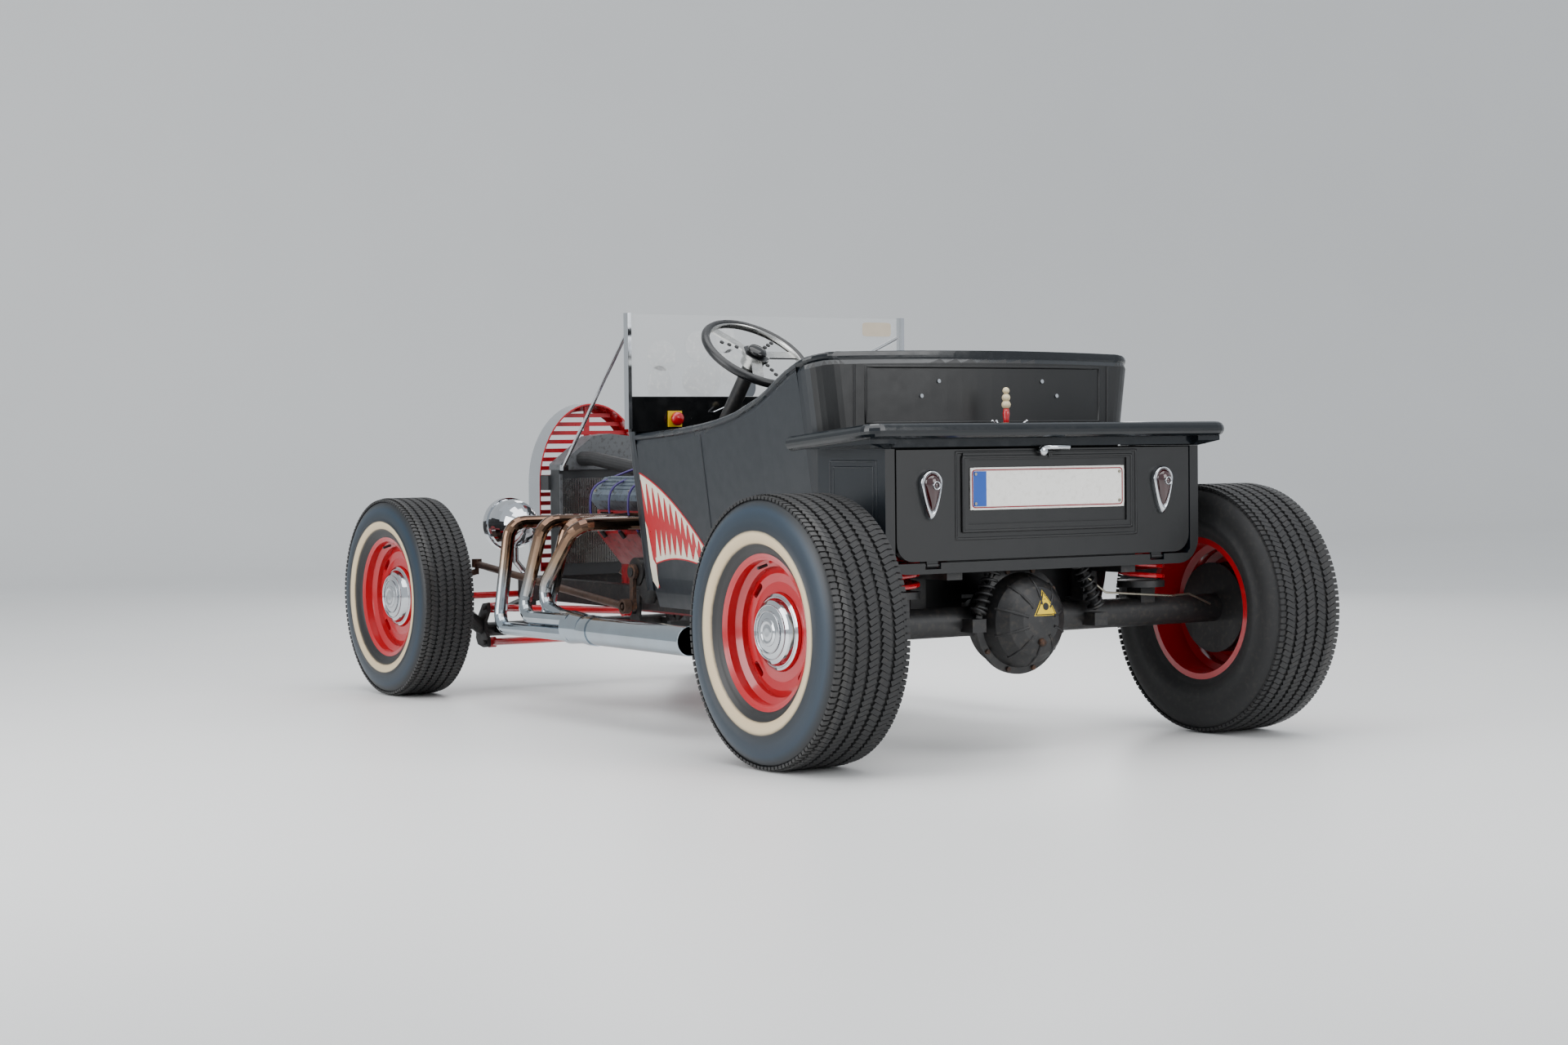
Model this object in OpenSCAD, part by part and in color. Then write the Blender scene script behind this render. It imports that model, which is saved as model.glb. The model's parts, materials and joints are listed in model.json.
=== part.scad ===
// Street rod roadster with a short pickup bed.
// Millimetres. +Z up, the nose points to -Y, the car's left is +X.
// The origin is on the ground, midway between the front and the back of the tyres.

/* [Wheelbase and track] */
// Distance between the front and the rear axle
wheelbase = 2500; // [2300:10:3000]
// Distance between the middles of the front tyres
front_track = 1303; // [1240:1:1600]
// Distance between the middles of the rear tyres
rear_track = 1460; // [1380:1:1760]

/* [Tyres and wheels] */
// Front tyre diameter
front_tyre_d = 660; // [600:1:800]
// Front tyre width
front_tyre_w = 195; // [165:1:235]
// Rear tyre diameter
rear_tyre_d = 705; // [640:1:850]
// Rear tyre width
rear_tyre_w = 250; // [205:1:300]
// Front rim width over its flanges
front_rim_w = 153; // [127:1:190]
// Rear rim width over its flanges
rear_rim_w = 198; // [165:1:240]
// Bead seat diameter of every rim
rim_d = 381; // [356:1:406]
// Hub cap diameter
cap_d = 204; // [170:1:245]

/* [Frame] */
// Space between the two frame rails
rail_gap = 540; // [450:1:650]
// Width of a rail's tube
rail_w = 50; // [40:1:60]
// Height of a rail's tube
rail_h = 73; // [60:1:88]
// Height of the rails' underside above the ground
rail_z = 317; // [300:1:345]
// How far the rails rise over the rear axle
kick_up = 153; // [140:1:185]

/* [Front end] */
// Distance between the two kingpins
kingpin_gap = 1070; // [1000:1:1290]
// How far the axle tube hangs below the stub axles
axle_drop = 126; // [105:1:151]
// Length of the steering arms behind the kingpins
tie_arm = 130; // [108:1:156]
// Length of the pitman arm, and of the drag link's arm on the left knuckle
drag_arm = 105; // [88:1:126]

/* [Body] */
// Half width of the tub at the cowl, at the height of its rim
tub_half_front = 470; // [440:1:500]
// Half width of the tub at its rear corners, at the height of its front rim
tub_half_rear = 533; // [505:1:545]
// Thickness of the tub's wall with its trim
tub_wall = 25; // [20:1:30]
// Height of the body's lower edge
body_z = 340; // [325:1:350]
// Height of the rim at the cowl
rim_front_z = 864; // [840:1:900]
// Height of the rim at the back
rim_rear_z = 1080; // [1040:1:1200]
// Height of the cowl and dashboard
cowl_z = 975; // [940:1:1050]
// Height of the windshield's top
windshield_z = 1225; // [1150:1:1400]

/* [Bed] */
// Half width of the bed
bed_half = 530; // [500:1:545]
// Lower edge of the bed's panels
bed_z = 490; // [480:1:495]
// Upper edge of the bed's panels
bed_top_z = 815; // [790:1:825]
// How far the tail panel stands behind the rear axle
bed_overhang = 116; // [95:1:140]
// Width of the number plate
plate_w = 520; // [430:1:540]

/* [Engine] */
// Length of the engine block
engine_l = 500; // [420:1:560]
// Height of the crankshaft
crank_z = 380; // [360:1:400]
// Outer diameter of an exhaust primary
primary_d = 41; // [34:1:48]
// Outer diameter of the exhaust outlet pipe
outlet_d = 87; // [73:1:100]

/* [Hidden] */
$fn = 48;

// Clearance between pieces that rest on each other
seat = 0.3;
// Clearance of a pin in its bore
pin_fit = 0.3;

// Stations of the axles
car_l = wheelbase + (front_tyre_d + rear_tyre_d) / 2;
front_y = -car_l / 2 + front_tyre_d / 2;
rear_y = car_l / 2 - rear_tyre_d / 2;
front_z = front_tyre_d / 2;
rear_z = rear_tyre_d / 2;
axle_z = front_z - axle_drop;

// Wheels
flange = 17;
rim_r = rim_d / 2;
cap_inset = 46;
stub_r = 16;

// Frame
rail_in = rail_gap / 2;
rail_out = rail_in + rail_w;
rail_top = rail_z + rail_h;
frame_front = front_y + 161;
kick_z = rail_z + kick_up;
kick_top = kick_z + rail_h;

// Front end
kingpin_x = kingpin_gap / 2;
boss_h = 60;
boss_r = 26;
kingpin_r = 11;
ear_h = 15;
perch_z = 350;
perch_top = 400;
spring_y = front_y + 61;
spring_w = 44;
wing_x = 372;
wing_t = 12;
link_x = 360;
link_r = 12;
eye_r = 18;
eye_w = wing_x - link_x - seat;
bolt_r = 7.7;
link_y = front_y + 40;
link_up_z = axle_z + 76;
link_low_z = axle_z - 42;
link_back_y = front_y + 965;
link_back_up = rail_z - 2;
link_back_low = rail_z - 77;

// Steering
drag_x = kingpin_x - drag_arm;
drag_y = front_y + 74;
drag_z = front_z + 102;
drag_r = 12;
tie_y = front_y + tie_arm;
tie_z = front_z;
tie_r = 11;
pitman_y = rear_y - 1429;
pitman_z = 335;
pitman_x = drag_x - 8;
sector_z = pitman_z + drag_arm;
box_x = rail_out + 42;
wheel_hub = [295, rear_y - 865, 1091];
box_end = [box_x, pitman_y + 59, sector_z - 43];
steer_wheel_r = 170;
link_end = [pitman_x, pitman_y, pitman_z];

// Rear end
diff_x = 45;
shock_low = [208, rear_y + 69, rear_z + 16];
shock_up = [139, rear_y + 69, kick_z + 38];

// Body stations, measured back from the cowl
cowl_y = rear_y - 1272;
firewall_y = cowl_y - 97;
tub_back_y = cowl_y + 1146;
corner_y = cowl_y + 1018;
corner_r = 92;
back_crown = 36;
lean = 0.00026;
dash_t = 12;
dash_y = cowl_y + 10;
floor_z = rail_top;
floor_t = 12;
tunnel_r = 150;
tunnel_back = cowl_y + 520;

// Bed stations
tail_y = rear_y + bed_overhang;
frame_back = tail_y - 22 - seat;
kick_y = tub_back_y + 6;
shaft_z = crank_z - 30;
bed_side_y = corner_y + 60;
bed_front_y = tub_back_y + 12;
bed_wall = 20;
bed_corner = 70;
bed_floor_z = 580;
gate_gap = 5;
gate_half = bed_half - 35;
gate_low = bed_z + 33;
gate_top = bed_top_z - 3;
gate_t = 18;
hinge_y = tail_y - 8;
hinge_z = gate_low - 11;
roll_r = 23;
roll_x = bed_half + 61;
roll_y = tail_y + 30;
roll_back_z = bed_top_z + 46;
roll_front_z = bed_top_z + 16;

// Engine stations, measured forward from the firewall
engine_back = firewall_y - 60;
engine_front = engine_back - engine_l;
head_x = 238;
head_low_z = crank_z + 165;
head_up_z = crank_z + 237;
cover_base = [head_x - 78, crank_z + 315];
valley_z = crank_z + 220;
port_z = crank_z + 208;
header_x = 600;
primary_r = primary_d / 2;
outlet_r = outlet_d / 2;
merge_y = firewall_y - 43;
outlet_y = firewall_y + 622;
outlet_z = 270;

// Nose
rad_y = front_y + 200;
rad_t = 60;
rad_half = 195;
rad_top = 748;
tank_top = 868;
shell_back = front_y + 113;
shell_front = front_y + 33;
shell_half = 208;
shell_spring = 700;
shell_rise = 273;
lamp_x = 334;
lamp_y = front_y + 170;
lamp_z = 566;
lamp_r = 89;

// ---------- Helpers ----------

function unit(v) = v / norm(v);

// A round bar from a to b
module rod(a, b, r) {
    d = b - a;
    translate(a) rotate([0, acos(d[2] / norm(d)), atan2(d[1], d[0])])
        cylinder(h = norm(d), r = r);
}

// A cylinder along X or along Y, from one station to another
module x_bar(x0, x1, y, z, r) {
    translate([x0, y, z]) rotate([0, 90, 0]) cylinder(h = x1 - x0, r = r);
}
module y_bar(x, y0, y1, z, r) {
    translate([x, y0, z]) rotate([-90, 0, 0]) cylinder(h = y1 - y0, r = r);
}

// A box between two opposite corners
module block(a, b) {
    translate(a) cube(b - a);
}

// An outline in X and Z, extruded along Y; and one in Y and Z, extruded along X
module along_y(y0, y1) {
    translate([0, y1, 0]) rotate([90, 0, 0]) linear_extrude(y1 - y0) children();
}
module along_x(x0, x1) {
    translate([x0, 0, 0]) rotate([90, 0, 90]) linear_extrude(x1 - x0) children();
}

module both_sides() {
    children();
    mirror([1, 0, 0]) children();
}

// A path through the points with arcs of the radius bend at the corners,
// as places with their directions
function bend_path(points, bend, steps = 5) =
    let (last = len(points) - 1,
         dirs = [for (i = [0 : last - 1]) unit(points[i + 1] - points[i])])
    concat(
        [[points[0], dirs[0]]],
        [for (i = [1 : last - 1])
            let (u = dirs[i - 1], v = dirs[i], turn = acos(u * v),
                 w = unit(v - (u * v) * u), cut = bend * tan(turn / 2),
                 c = points[i] - cut * u + bend * w)
            for (k = [0 : steps])
                let (a = turn * k / steps)
                [c + bend * (sin(a) * u - cos(a) * w), cos(a) * u + sin(a) * w]],
        [[points[last], dirs[last - 1]]]
    );

// Normals carried along the path without twist
function carried(path, i = 0, n = undef) =
    let (t = path[i][1],
         start = abs(t[2]) < 0.9 ? [0, 0, 1] : [1, 0, 0],
         raw = n == undef ? start : n,
         m = unit(raw - (raw * t) * t))
    i == len(path) - 1 ? [m] : concat([m], carried(path, i + 1, m));

// A round bar through the points, with arcs at the corners
module bent_rod(points, r, bend, sides = 16) {
    path = bend_path(points, bend);
    normals = carried(path);
    skin([for (i = [0 : len(path) - 1])
        let (n = normals[i], b = cross(path[i][1], n))
        [for (k = [0 : sides - 1])
            path[i][0] + r / cos(90 / sides) * (cos(360 * k / sides) * n + sin(360 * k / sides) * b)]]);
}

// A closed surface over rings that have the same number of points
module skin(rings) {
    m = len(rings);
    n = len(rings[0]);
    polyhedron(
        points = [for (ring = rings) for (p = ring) p],
        faces = concat(
            [[for (j = [0 : n - 1]) j]],
            [for (i = [0 : m - 2]) for (j = [0 : n - 1])
                [i * n + j, (i + 1) * n + j, (i + 1) * n + (j + 1) % n]],
            [for (i = [0 : m - 2]) for (j = [0 : n - 1])
                [i * n + j, (i + 1) * n + (j + 1) % n, i * n + (j + 1) % n]],
            [[for (j = [n - 1 : -1 : 0]) (m - 1) * n + j]]
        )
    );
}

// A round wire wound about Z
module coil(z0, z1, r, wire_r, turns) {
    steps = turns * 16;
    skin([for (i = [0 : steps])
        let (a = i * 360 / 16,
             z = z0 + wire_r + (z1 - z0 - 2 * wire_r) * i / steps)
        [for (b = [0 : 45 : 315])
            [(r + wire_r * cos(b)) * cos(a), (r + wire_r * cos(b)) * sin(a),
             z + wire_r * sin(b)]]]);
}

// ---------- Chassis ----------

module rail_outline() {
    polygon([
        [frame_front, rail_z], [kick_y + rail_w, rail_z], [kick_y + rail_w, kick_z],
        [frame_back, kick_z], [frame_back, kick_top], [kick_y, kick_top],
        [kick_y, rail_top], [frame_front, rail_top]
    ]);
}

module link_bracket() {
    along_x(rail_out, rail_out + 8) polygon([
        [link_back_y - 32, rail_top - 15], [link_back_y - 26, link_back_low - 20],
        [link_back_y + 26, link_back_low - 20], [link_back_y + 32, rail_top - 15]
    ]);
    for (z = [link_back_up, link_back_low]) {
        x_bar(rail_out, link_x - eye_w - seat, link_back_y, z, 13);
        x_bar(rail_out, link_x + eye_w + 4, link_back_y, z, bolt_r);
    }
}

module chassis_frame() color("#1b1c1e") difference() {
    union() {
        both_sides() {
            along_x(rail_in, rail_out) rail_outline();
            link_bracket();
            block([rail_out - 1, outlet_y - 190, outlet_z + 30],
                  [header_x - outlet_r + 6, outlet_y - 170, outlet_z + 36 + 16]);
            block([150 + seat, engine_front + 180, rail_z + 22],
                  [rail_in + 1, engine_front + 240, rail_top - 10]);
        }
        block([-rail_in - 1, frame_front, rail_z], [rail_in + 1, frame_front + 50, rail_top]);
        block([-60, spring_y - 28, perch_z], [60, frame_front + 1, perch_top]);
        block([-rail_in - 1, tunnel_back + 40, rail_z],
              [rail_in + 1, tunnel_back + 90, shaft_z - 32]);
        block([-490, rear_y - 30, kick_top - 1], [490, rear_y + 30, kick_top + 17]);
        block([-rail_in - 1, frame_back - 50, kick_z + 38], [rail_in + 1, frame_back, kick_top]);
    }
    both_sides() translate([header_x, 0, outlet_z + 6])
        rotate([-90, 0, 0]) cylinder(h = 2000, r = outlet_r + seat, center = true);
}

// A welded block under each rail's nose, with a blind hole up into it for a tie-down pin
module tie_down_lugs() color("#1b1c1e") both_sides() {
    x = (rail_in + rail_out) / 2;
    difference() {
        block([x - 20, frame_front + 5, rail_z - 32], [x + 20, frame_front + 45, rail_z - seat]);
        translate([x, frame_front + 25, rail_z - 33]) cylinder(h = 21, r = 9);
    }
}

// A point of a leaf at the share k of the span, depth below the top of the pack
function leaf_point(span, z_end, z_mid, k, depth) =
    [span * k, z_mid - (z_mid - z_end) * k * k - depth];

// The outline of a leaf spring pack in X and Z
module leaf_pack(span, z_end, z_mid) {
    for (i = [0 : 3]) {
        reach = 1 - 0.2 * i;
        polygon(concat(
            [for (k = [-1 : 0.125 : 1]) leaf_point(span, z_end, z_mid, k * reach, 8 * i)],
            [for (k = [1 : -0.125 : -1]) leaf_point(span, z_end, z_mid, k * reach, 8 * i + 8.2)]
        ));
    }
}

module wing_outline() {
    polygon([
        [front_y - 34, axle_z - 30], [front_y - 20, axle_z - 52],
        [link_y - 18, link_low_z - 18], [link_y + 16, link_low_z - 14],
        [link_y + 16, link_low_z + 14], [front_y + 34, axle_z - 4],
        [front_y + 34, axle_z + 30], [link_y + 18, link_up_z - 12],
        [link_y + 14, link_up_z + 18], [link_y - 20, link_up_z + 14],
        [front_y - 26, axle_z + 34]
    ]);
}

module front_axle() color("#202124") {
    difference() {
        union() {
            bent_rod([
                [-kingpin_x + 20, front_y, front_z + 4],
                [-kingpin_x + 160, front_y, axle_z],
                [kingpin_x - 160, front_y, axle_z],
                [kingpin_x - 20, front_y, front_z + 4]
            ], 24, 60);
            both_sides() {
                translate([kingpin_x, front_y, front_z - boss_h / 2])
                    cylinder(h = boss_h, r = boss_r);
                along_x(wing_x, wing_x + wing_t) wing_outline();
                for (z = [link_up_z, link_low_z])
                    x_bar(link_x - eye_w - 5, wing_x + wing_t + 10, link_y, z, bolt_r);
                block([320, front_y, axle_z - 10], [340, spring_y + spring_w / 2, axle_z + 14]);
                block([322, spring_y - 12, axle_z], [338, spring_y + 12, axle_z + 66]);
            }
            along_y(spring_y - spring_w / 2, spring_y + spring_w / 2)
                leaf_pack(345, axle_z + 68, perch_z);
        }
        both_sides() translate([kingpin_x, front_y, front_z - boss_h])
            cylinder(h = 2 * boss_h, r = kingpin_r + pin_fit);
    }
}

// A link between two eyes that turn on bolts along X
module eye_link(a, b, r) {
    d = unit(b - a);
    difference() {
        union() {
            rod(a, b, r);
            for (p = [a, b]) x_bar(p[0] - eye_w, p[0] + eye_w, p[1], p[2], eye_r);
        }
        for (p = [a, b]) x_bar(p[0] - 30, p[0] + 30, p[1], p[2], bolt_r + pin_fit);
    }
}

module radius_rods() color("#b3121f") {
    both_sides() {
        eye_link([link_x, link_y, link_up_z], [link_x, link_back_y, link_back_up], link_r);
        eye_link([link_x, link_y, link_low_z], [link_x, link_back_y, link_back_low], link_r);
    }
}

module steering_column() color("#17181a") difference() {
    union() {
        d = unit(box_end - wheel_hub);
        rod(wheel_hub + 40 * d, box_end - 40 * d, 22);
        rod(box_end - 48 * d, box_end + 44 * d, 31);
        x_bar(rail_out + seat, pitman_x - 38, pitman_y, sector_z, 44);
        x_bar(rail_out + seat, pitman_x - 18, pitman_y, sector_z, 14);
        block([rail_out + seat, pitman_y - 40, rail_z + 20],
              [rail_out + 14, pitman_y + 60, sector_z + 20]);
    }
    d = unit(box_end - wheel_hub);
    rod(wheel_hub + 30 * d, wheel_hub + 160 * d, 10.5);
    // Room for the pitman arm's swing
    block([pitman_x - 38, pitman_y - 50, rail_z - 50],
          [pitman_x + 10, pitman_y + 150, sector_z - 14 - pin_fit]);
}

// ---------- Rear axle ----------

module rear_axle() color("#151617") {
    x_bar(-rear_track / 2 + 38, rear_track / 2 - 38, rear_y, rear_z, 40);
    x_bar(-rear_track / 2 - 12, rear_track / 2 + 12, rear_y, rear_z, stub_r);
    translate([diff_x, rear_y, rear_z]) rotate([-90, 0, 0]) rotate_extrude() polygon([
        [0, -165], [46, -165], [50, -120], [92, -70], [124, -20], [126, 30],
        [146, 34], [146, 46], [128, 50], [116, 92], [92, 122], [60, 140], [0, 148]
    ]);
    both_sides() {
        x_bar(rear_track / 2 - 44, rear_track / 2 - 38, rear_y, rear_z, 128);
        translate([420, rear_y, rear_z + 70]) cylinder(h = 18, r = 66);
        block([395, rear_y - 30, rear_z], [445, rear_y + 30, rear_z + 72]);
        block([185, rear_y, rear_z - 25], [230, rear_y + 84, rear_z + 10]);
    }
}

module rear_coil_springs() color("#c01522") both_sides() {
    translate([420, rear_y, 0]) coil(rear_z + 88 + seat, kick_top - 1 - seat, 60, 7, 3);
}

module rear_shocks() color("#101112") both_sides() {
    d = shock_up - shock_low;
    pitch = (norm(d) - 44) / 6;
    rib = [[15, 0], [22, 1], [24, 4], [22, 7], [15, 8]];
    translate(shock_low) rotate([0, acos(d[2] / norm(d)), atan2(d[1], d[0])])
        rotate_extrude() polygon(concat(
            [[0, 8], [14, 8], [14, 14], [24, 14], [24, 20]],
            [for (z = [22 : pitch : norm(d) - 22 - pitch], p = rib) [p[0], z + p[1]]],
            [[24, norm(d) - 20], [24, norm(d) - 14], [14, norm(d) - 14]],
            [[14, norm(d) - 8], [0, norm(d) - 8]]
        ));
}

module brake_line() color("#b9b4a6") {
    bent_rod([
        [-640, rear_y + 41, rear_z + 14], [-560, rear_y + 41, rear_z + 46],
        [-480, rear_y + 60, rear_z + 44], [-250, rear_y + 52, rear_z + 62],
        [-190, rear_y + 48, rear_z + 104]
    ], 3, 14);
}

module driveline() color("#2a2b2e") {
    y_bar(0, engine_back + seat, engine_back + 58, crank_z + 20, 140);
    y_bar(0, engine_back + 50, engine_back + 420, crank_z, 95);
    y_bar(0, engine_back + 410, engine_back + 560, shaft_z, 45);
    rod([0, engine_back + 550, shaft_z], [diff_x, rear_y - 167, rear_z], 25);
}

// ---------- Engine ----------

module engine_block() color("#a5161f") {
    both = [
        [115, crank_z - 95], [125, crank_z - 50], [150, crank_z - 30],
        [150, crank_z + 60], [205, crank_z + 125], [head_x, head_low_z],
        [head_x, head_up_z], cover_base, [95, crank_z + 262], [70, valley_z]
    ];
    along_y(engine_front, engine_back)
        polygon(concat(both, [for (i = [len(both) - 1 : -1 : 0]) [-both[i][0], both[i][1]]]));
    y_bar(0, engine_front - 30, engine_front + 1, crank_z, 82);
    y_bar(0, engine_front - 30, engine_front + 1, crank_z + 150, 62);
    y_bar(0, engine_front - 60, engine_front - 29, crank_z + 150, 12);
}

// One valve cover, on the sloping top of its head
module valve_cover() {
    a = [head_x, head_up_z];
    e = unit(cover_base - a);
    n = [e[1], -e[0]];
    l = norm(cover_base - a);
    along_y(engine_front + 8, engine_back - 8) polygon([
        a + 3 * e + seat * n, a + 3 * e + 46 * n, a + 16 * e + 60 * n,
        a + (l - 16) * e + 60 * n, a + (l - 3) * e + 46 * n, a + (l - 3) * e + seat * n
    ]);
}

module valve_covers() color("#8a97a3") both_sides() valve_cover();

module intake_and_air_cleaner() color("#9a9da1") {
    mid = (engine_front + engine_back) / 2;
    block([-66, engine_front + 40, valley_z], [66, engine_back - 40, valley_z + 60]);
    block([-55, mid - 80, valley_z + 59], [55, mid + 60, valley_z + 120]);
    translate([0, mid - 10, valley_z + 119]) cylinder(h = 62, r = 115);
}

module engine_fan() color("#3a3c40") {
    fan_y = engine_front - 50;
    difference() {
        y_bar(0, fan_y - 24, fan_y, crank_z + 150, 32);
        y_bar(0, fan_y - 12, fan_y + 1, crank_z + 150, 12 + pin_fit);
    }
    for (i = [0 : 4])
        translate([0, fan_y - 12, crank_z + 150]) rotate([0, i * 72, 0])
            translate([0, 0, 20]) rotate([0, 0, 24]) translate([-28, -1.5, 0])
                cube([56, 3, 150]);
}

// ---------- Exhaust ----------

// Places of the four ports along the engine, and the bend radius of the primaries
ports = [engine_front + 70, engine_front + 230, engine_front + 290, engine_front + 450];
primary_bend = 55;

module header() {
    flange_x = head_x + seat;
    start_x = flange_x + 4;
    out = primary_r + 1;
    difference() {
        union() {
            for (y = ports)
                block([flange_x, y - 34, port_z - 30], [flange_x + 9, y + 34, port_z + 26]);
            bent_rod([
                [start_x, ports[0], port_z], [header_x - 18, ports[0] - 20, port_z],
                [header_x + out, ports[0] - 30, outlet_z - out + 6],
                [header_x + out, merge_y, outlet_z - out + 10]
            ], primary_r, primary_bend);
            bent_rod([
                [start_x, ports[1], port_z + 4], [header_x - 26, ports[1] + 30, port_z + 8],
                [header_x + out, ports[1] - 36, outlet_z + out + 6],
                [header_x + out, merge_y, outlet_z + out + 10]
            ], primary_r, primary_bend);
            bent_rod([
                [start_x, ports[3], port_z], [header_x - 34, ports[3] + 5, port_z],
                [header_x - out, ports[3] - 235, outlet_z + 76],
                [header_x - out, merge_y - 130, outlet_z + out + 16],
                [header_x - out, merge_y, outlet_z + out + 10]
            ], primary_r, primary_bend);
            bent_rod([
                [start_x, ports[2], port_z], [header_x - 100, ports[2] - 10, port_z],
                [header_x - out, ports[2] - 30, outlet_z - out + 8],
                [header_x - out, merge_y, outlet_z - out + 10]
            ], primary_r, primary_bend);
            translate([header_x, merge_y - 24, outlet_z + 9]) rotate([-90, 0, 0])
                cylinder(h = 90, r1 = 51, r2 = outlet_r);
            y_bar(header_x, merge_y + 60, outlet_y, outlet_z + 6, outlet_r);
            y_bar(header_x, merge_y + 96, merge_y + 128, outlet_z + 6, outlet_r + 3);
        }
        y_bar(header_x, merge_y + 90, outlet_y + 1, outlet_z + 6, outlet_r - 2.5);
    }
}

module left_exhaust_header() color("#a9a6a0") header();
module right_exhaust_header() color("#a9a6a0") mirror([1, 0, 0]) header();

// ---------- Nose ----------

module radiator() color("#4a4d50") {
    block([-rad_half, rad_y - rad_t / 2, rail_top + seat], [rad_half, rad_y + rad_t / 2, rad_top]);
    along_y(rad_y - rad_t / 2 - 10, rad_y + rad_t / 2 + 10) polygon([
        [-rad_half, rad_top - 1], [-rad_half, rad_top + 18], [-70, tank_top - 8],
        [0, tank_top], [70, tank_top - 8], [rad_half, rad_top + 18], [rad_half, rad_top - 1]
    ]);
    for (s = [-1, 1])
        block([s * (rad_half - 2) - 12 , shell_back + seat, rad_top - 70],
              [s * (rad_half - 2) + 12, rad_y - rad_t / 2 + 1, rad_top - 20]);
}

module radiator_hose() color("#1d1d1f") {
    bent_rod([
        [110, rad_y + rad_t / 2 + 10 + seat, rad_top + 36],
        [110, rad_y + rad_t / 2 + 90, rad_top + 36],
        [60, engine_front - 40, valley_z + 150],
        [40, engine_front + 30, valley_z + 110]
    ], 24, 50);
}

// The shell's outline in X and Z: straight sides under half an ellipse
function shell_points(inset) = concat(
    [[shell_half - inset, perch_top + seat + inset]],
    [for (a = [0 : 6 : 180])
        [(shell_half - inset) * cos(a), shell_spring + (shell_rise - inset) * sin(a)]],
    [[-shell_half + inset, perch_top + seat + inset]]
);

module grille_shell() color("#c9ccd0") {
    along_y(shell_front, shell_back) difference() {
        polygon(shell_points(0));
        polygon(shell_points(5));
    }
    along_y(shell_front, shell_front + 5) difference() {
        polygon(shell_points(1));
        polygon(shell_points(26));
    }
}

module grille_bars() color("#4d0d12") {
    bar_y = shell_front + 30;
    for (i = [0 : 18]) {
        z = perch_top + 22 + 30 * i;
        rise = max(0, z + 7 - shell_spring) / (shell_rise - 5);
        half = (shell_half - 5) * sqrt(max(0, 1 - rise * rise)) - seat;
        if (half > 30) block([-half, bar_y, z - 7], [half, bar_y + 14, z + 7]);
    }
    block([-9, bar_y + 2, perch_top + 6], [9, bar_y + 12, shell_spring + shell_rise - 6]);
}

module lamp_bucket() {
    rotate([-90, 0, 0]) rotate_extrude() polygon(concat(
        [[0, -52], [lamp_r - 6, -52], [lamp_r - 6, -60], [lamp_r, -60], [lamp_r, -36]],
        [for (a = [0 : 10 : 80]) [(lamp_r - 4) * cos(a), -36 + 132 * sin(a)]],
        [[0, 96]]
    ));
}

module headlamps() color("#cfd2d6") both_sides() {
    translate([lamp_x, lamp_y, lamp_z]) lamp_bucket();
    rod([lamp_x, lamp_y, lamp_z - 80], [lamp_x, lamp_y, lamp_z - 128], 11);
    rod([lamp_x, lamp_y, lamp_z - 124], [rail_in + 25, lamp_y, rail_top + 8], 11);
    block([rail_in + 5, lamp_y - 22, rail_top + seat], [rail_out - 5, lamp_y + 22, rail_top + 12]);
}

module headlamp_lenses() color("#e8eef2") both_sides() {
    translate([lamp_x, lamp_y - 52 - seat, lamp_z]) rotate([90, 0, 0]) rotate_extrude()
        polygon(concat([[0, 0]], [for (a = [0 : 15 : 90])
            [(lamp_r - 7) * cos(a), 4 + 14 * sin(a)]]));
}

// ---------- Body ----------

// The tub's plan at the height of its front rim, set in by inset:
// from the left cowl edge along the side, round the corner to the middle of the back
function side_half(y) = lookup(y, [
    [cowl_y, tub_half_front], [cowl_y + 414, tub_half_front + 27],
    [cowl_y + 640, tub_half_front + 39], [cowl_y + 790, tub_half_front + 46],
    [corner_y, tub_half_rear]
]);
function crown_y(x) = tub_back_y - back_crown * pow(x / (tub_half_rear - corner_r), 2);
function tub_plan(inset) = concat(
    [for (t = [0 : 1 / 16 : 0.999]) let (y = cowl_y + (corner_y - cowl_y) * t)
        [side_half(y) - inset, y]],
    [for (a = [0 : 10 : 80])
        [tub_half_rear - corner_r + (corner_r - inset) * cos(a), corner_y + (corner_r - inset) * sin(a)]],
    [for (x = [tub_half_rear - corner_r : -49 : 0])
        [x, crown_y(x) - inset]]
);
function rim_z(y) = lookup(y, [
    [cowl_y, rim_front_z], [cowl_y + 250, rim_front_z + 13], [cowl_y + 414, rim_front_z + 26],
    [cowl_y + 540, rim_front_z + 41], [cowl_y + 641, rim_front_z + 60],
    [cowl_y + 788, rim_front_z + 102], [cowl_y + 935, rim_rear_z - 52],
    [cowl_y + 1000, rim_rear_z - 32], [cowl_y + 1045, rim_rear_z - 20],
    [cowl_y + 1100, rim_rear_z - 6], [tub_back_y, rim_rear_z]
]);
// The plan leans in towards the ground, and turns in further under its belly
function leaned(p, z) = [
    p[0] * (1 + lean * (z - rim_front_z)) - sign(p[0]) * 16 * pow(max(0, (body_z + 130 - z) / 130), 2),
    p[1], z
];

function tub_ring(out, in) = let (top = rim_z(out[1])) concat(
    [for (z = [body_z, body_z + 45, body_z + 90, body_z + 130, (body_z + 130 + top) / 2, top - 34])
        leaned(out, z)],
    [for (a = [-60 : 30 : 240])
        let (c = leaned((out + in) / 2, top - 12))
        c + [cos(a), 0, sin(a)] * 12 + [cos(a) * 3, 0, 0]],
    [for (z = [top - 34, (body_z + 130 + top) / 2, body_z + 130, body_z + 90, body_z + 45, body_z])
        leaned(in, z)]
);
function flip(ring) = [for (p = ring) [-p[0], p[1], p[2]]];

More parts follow.
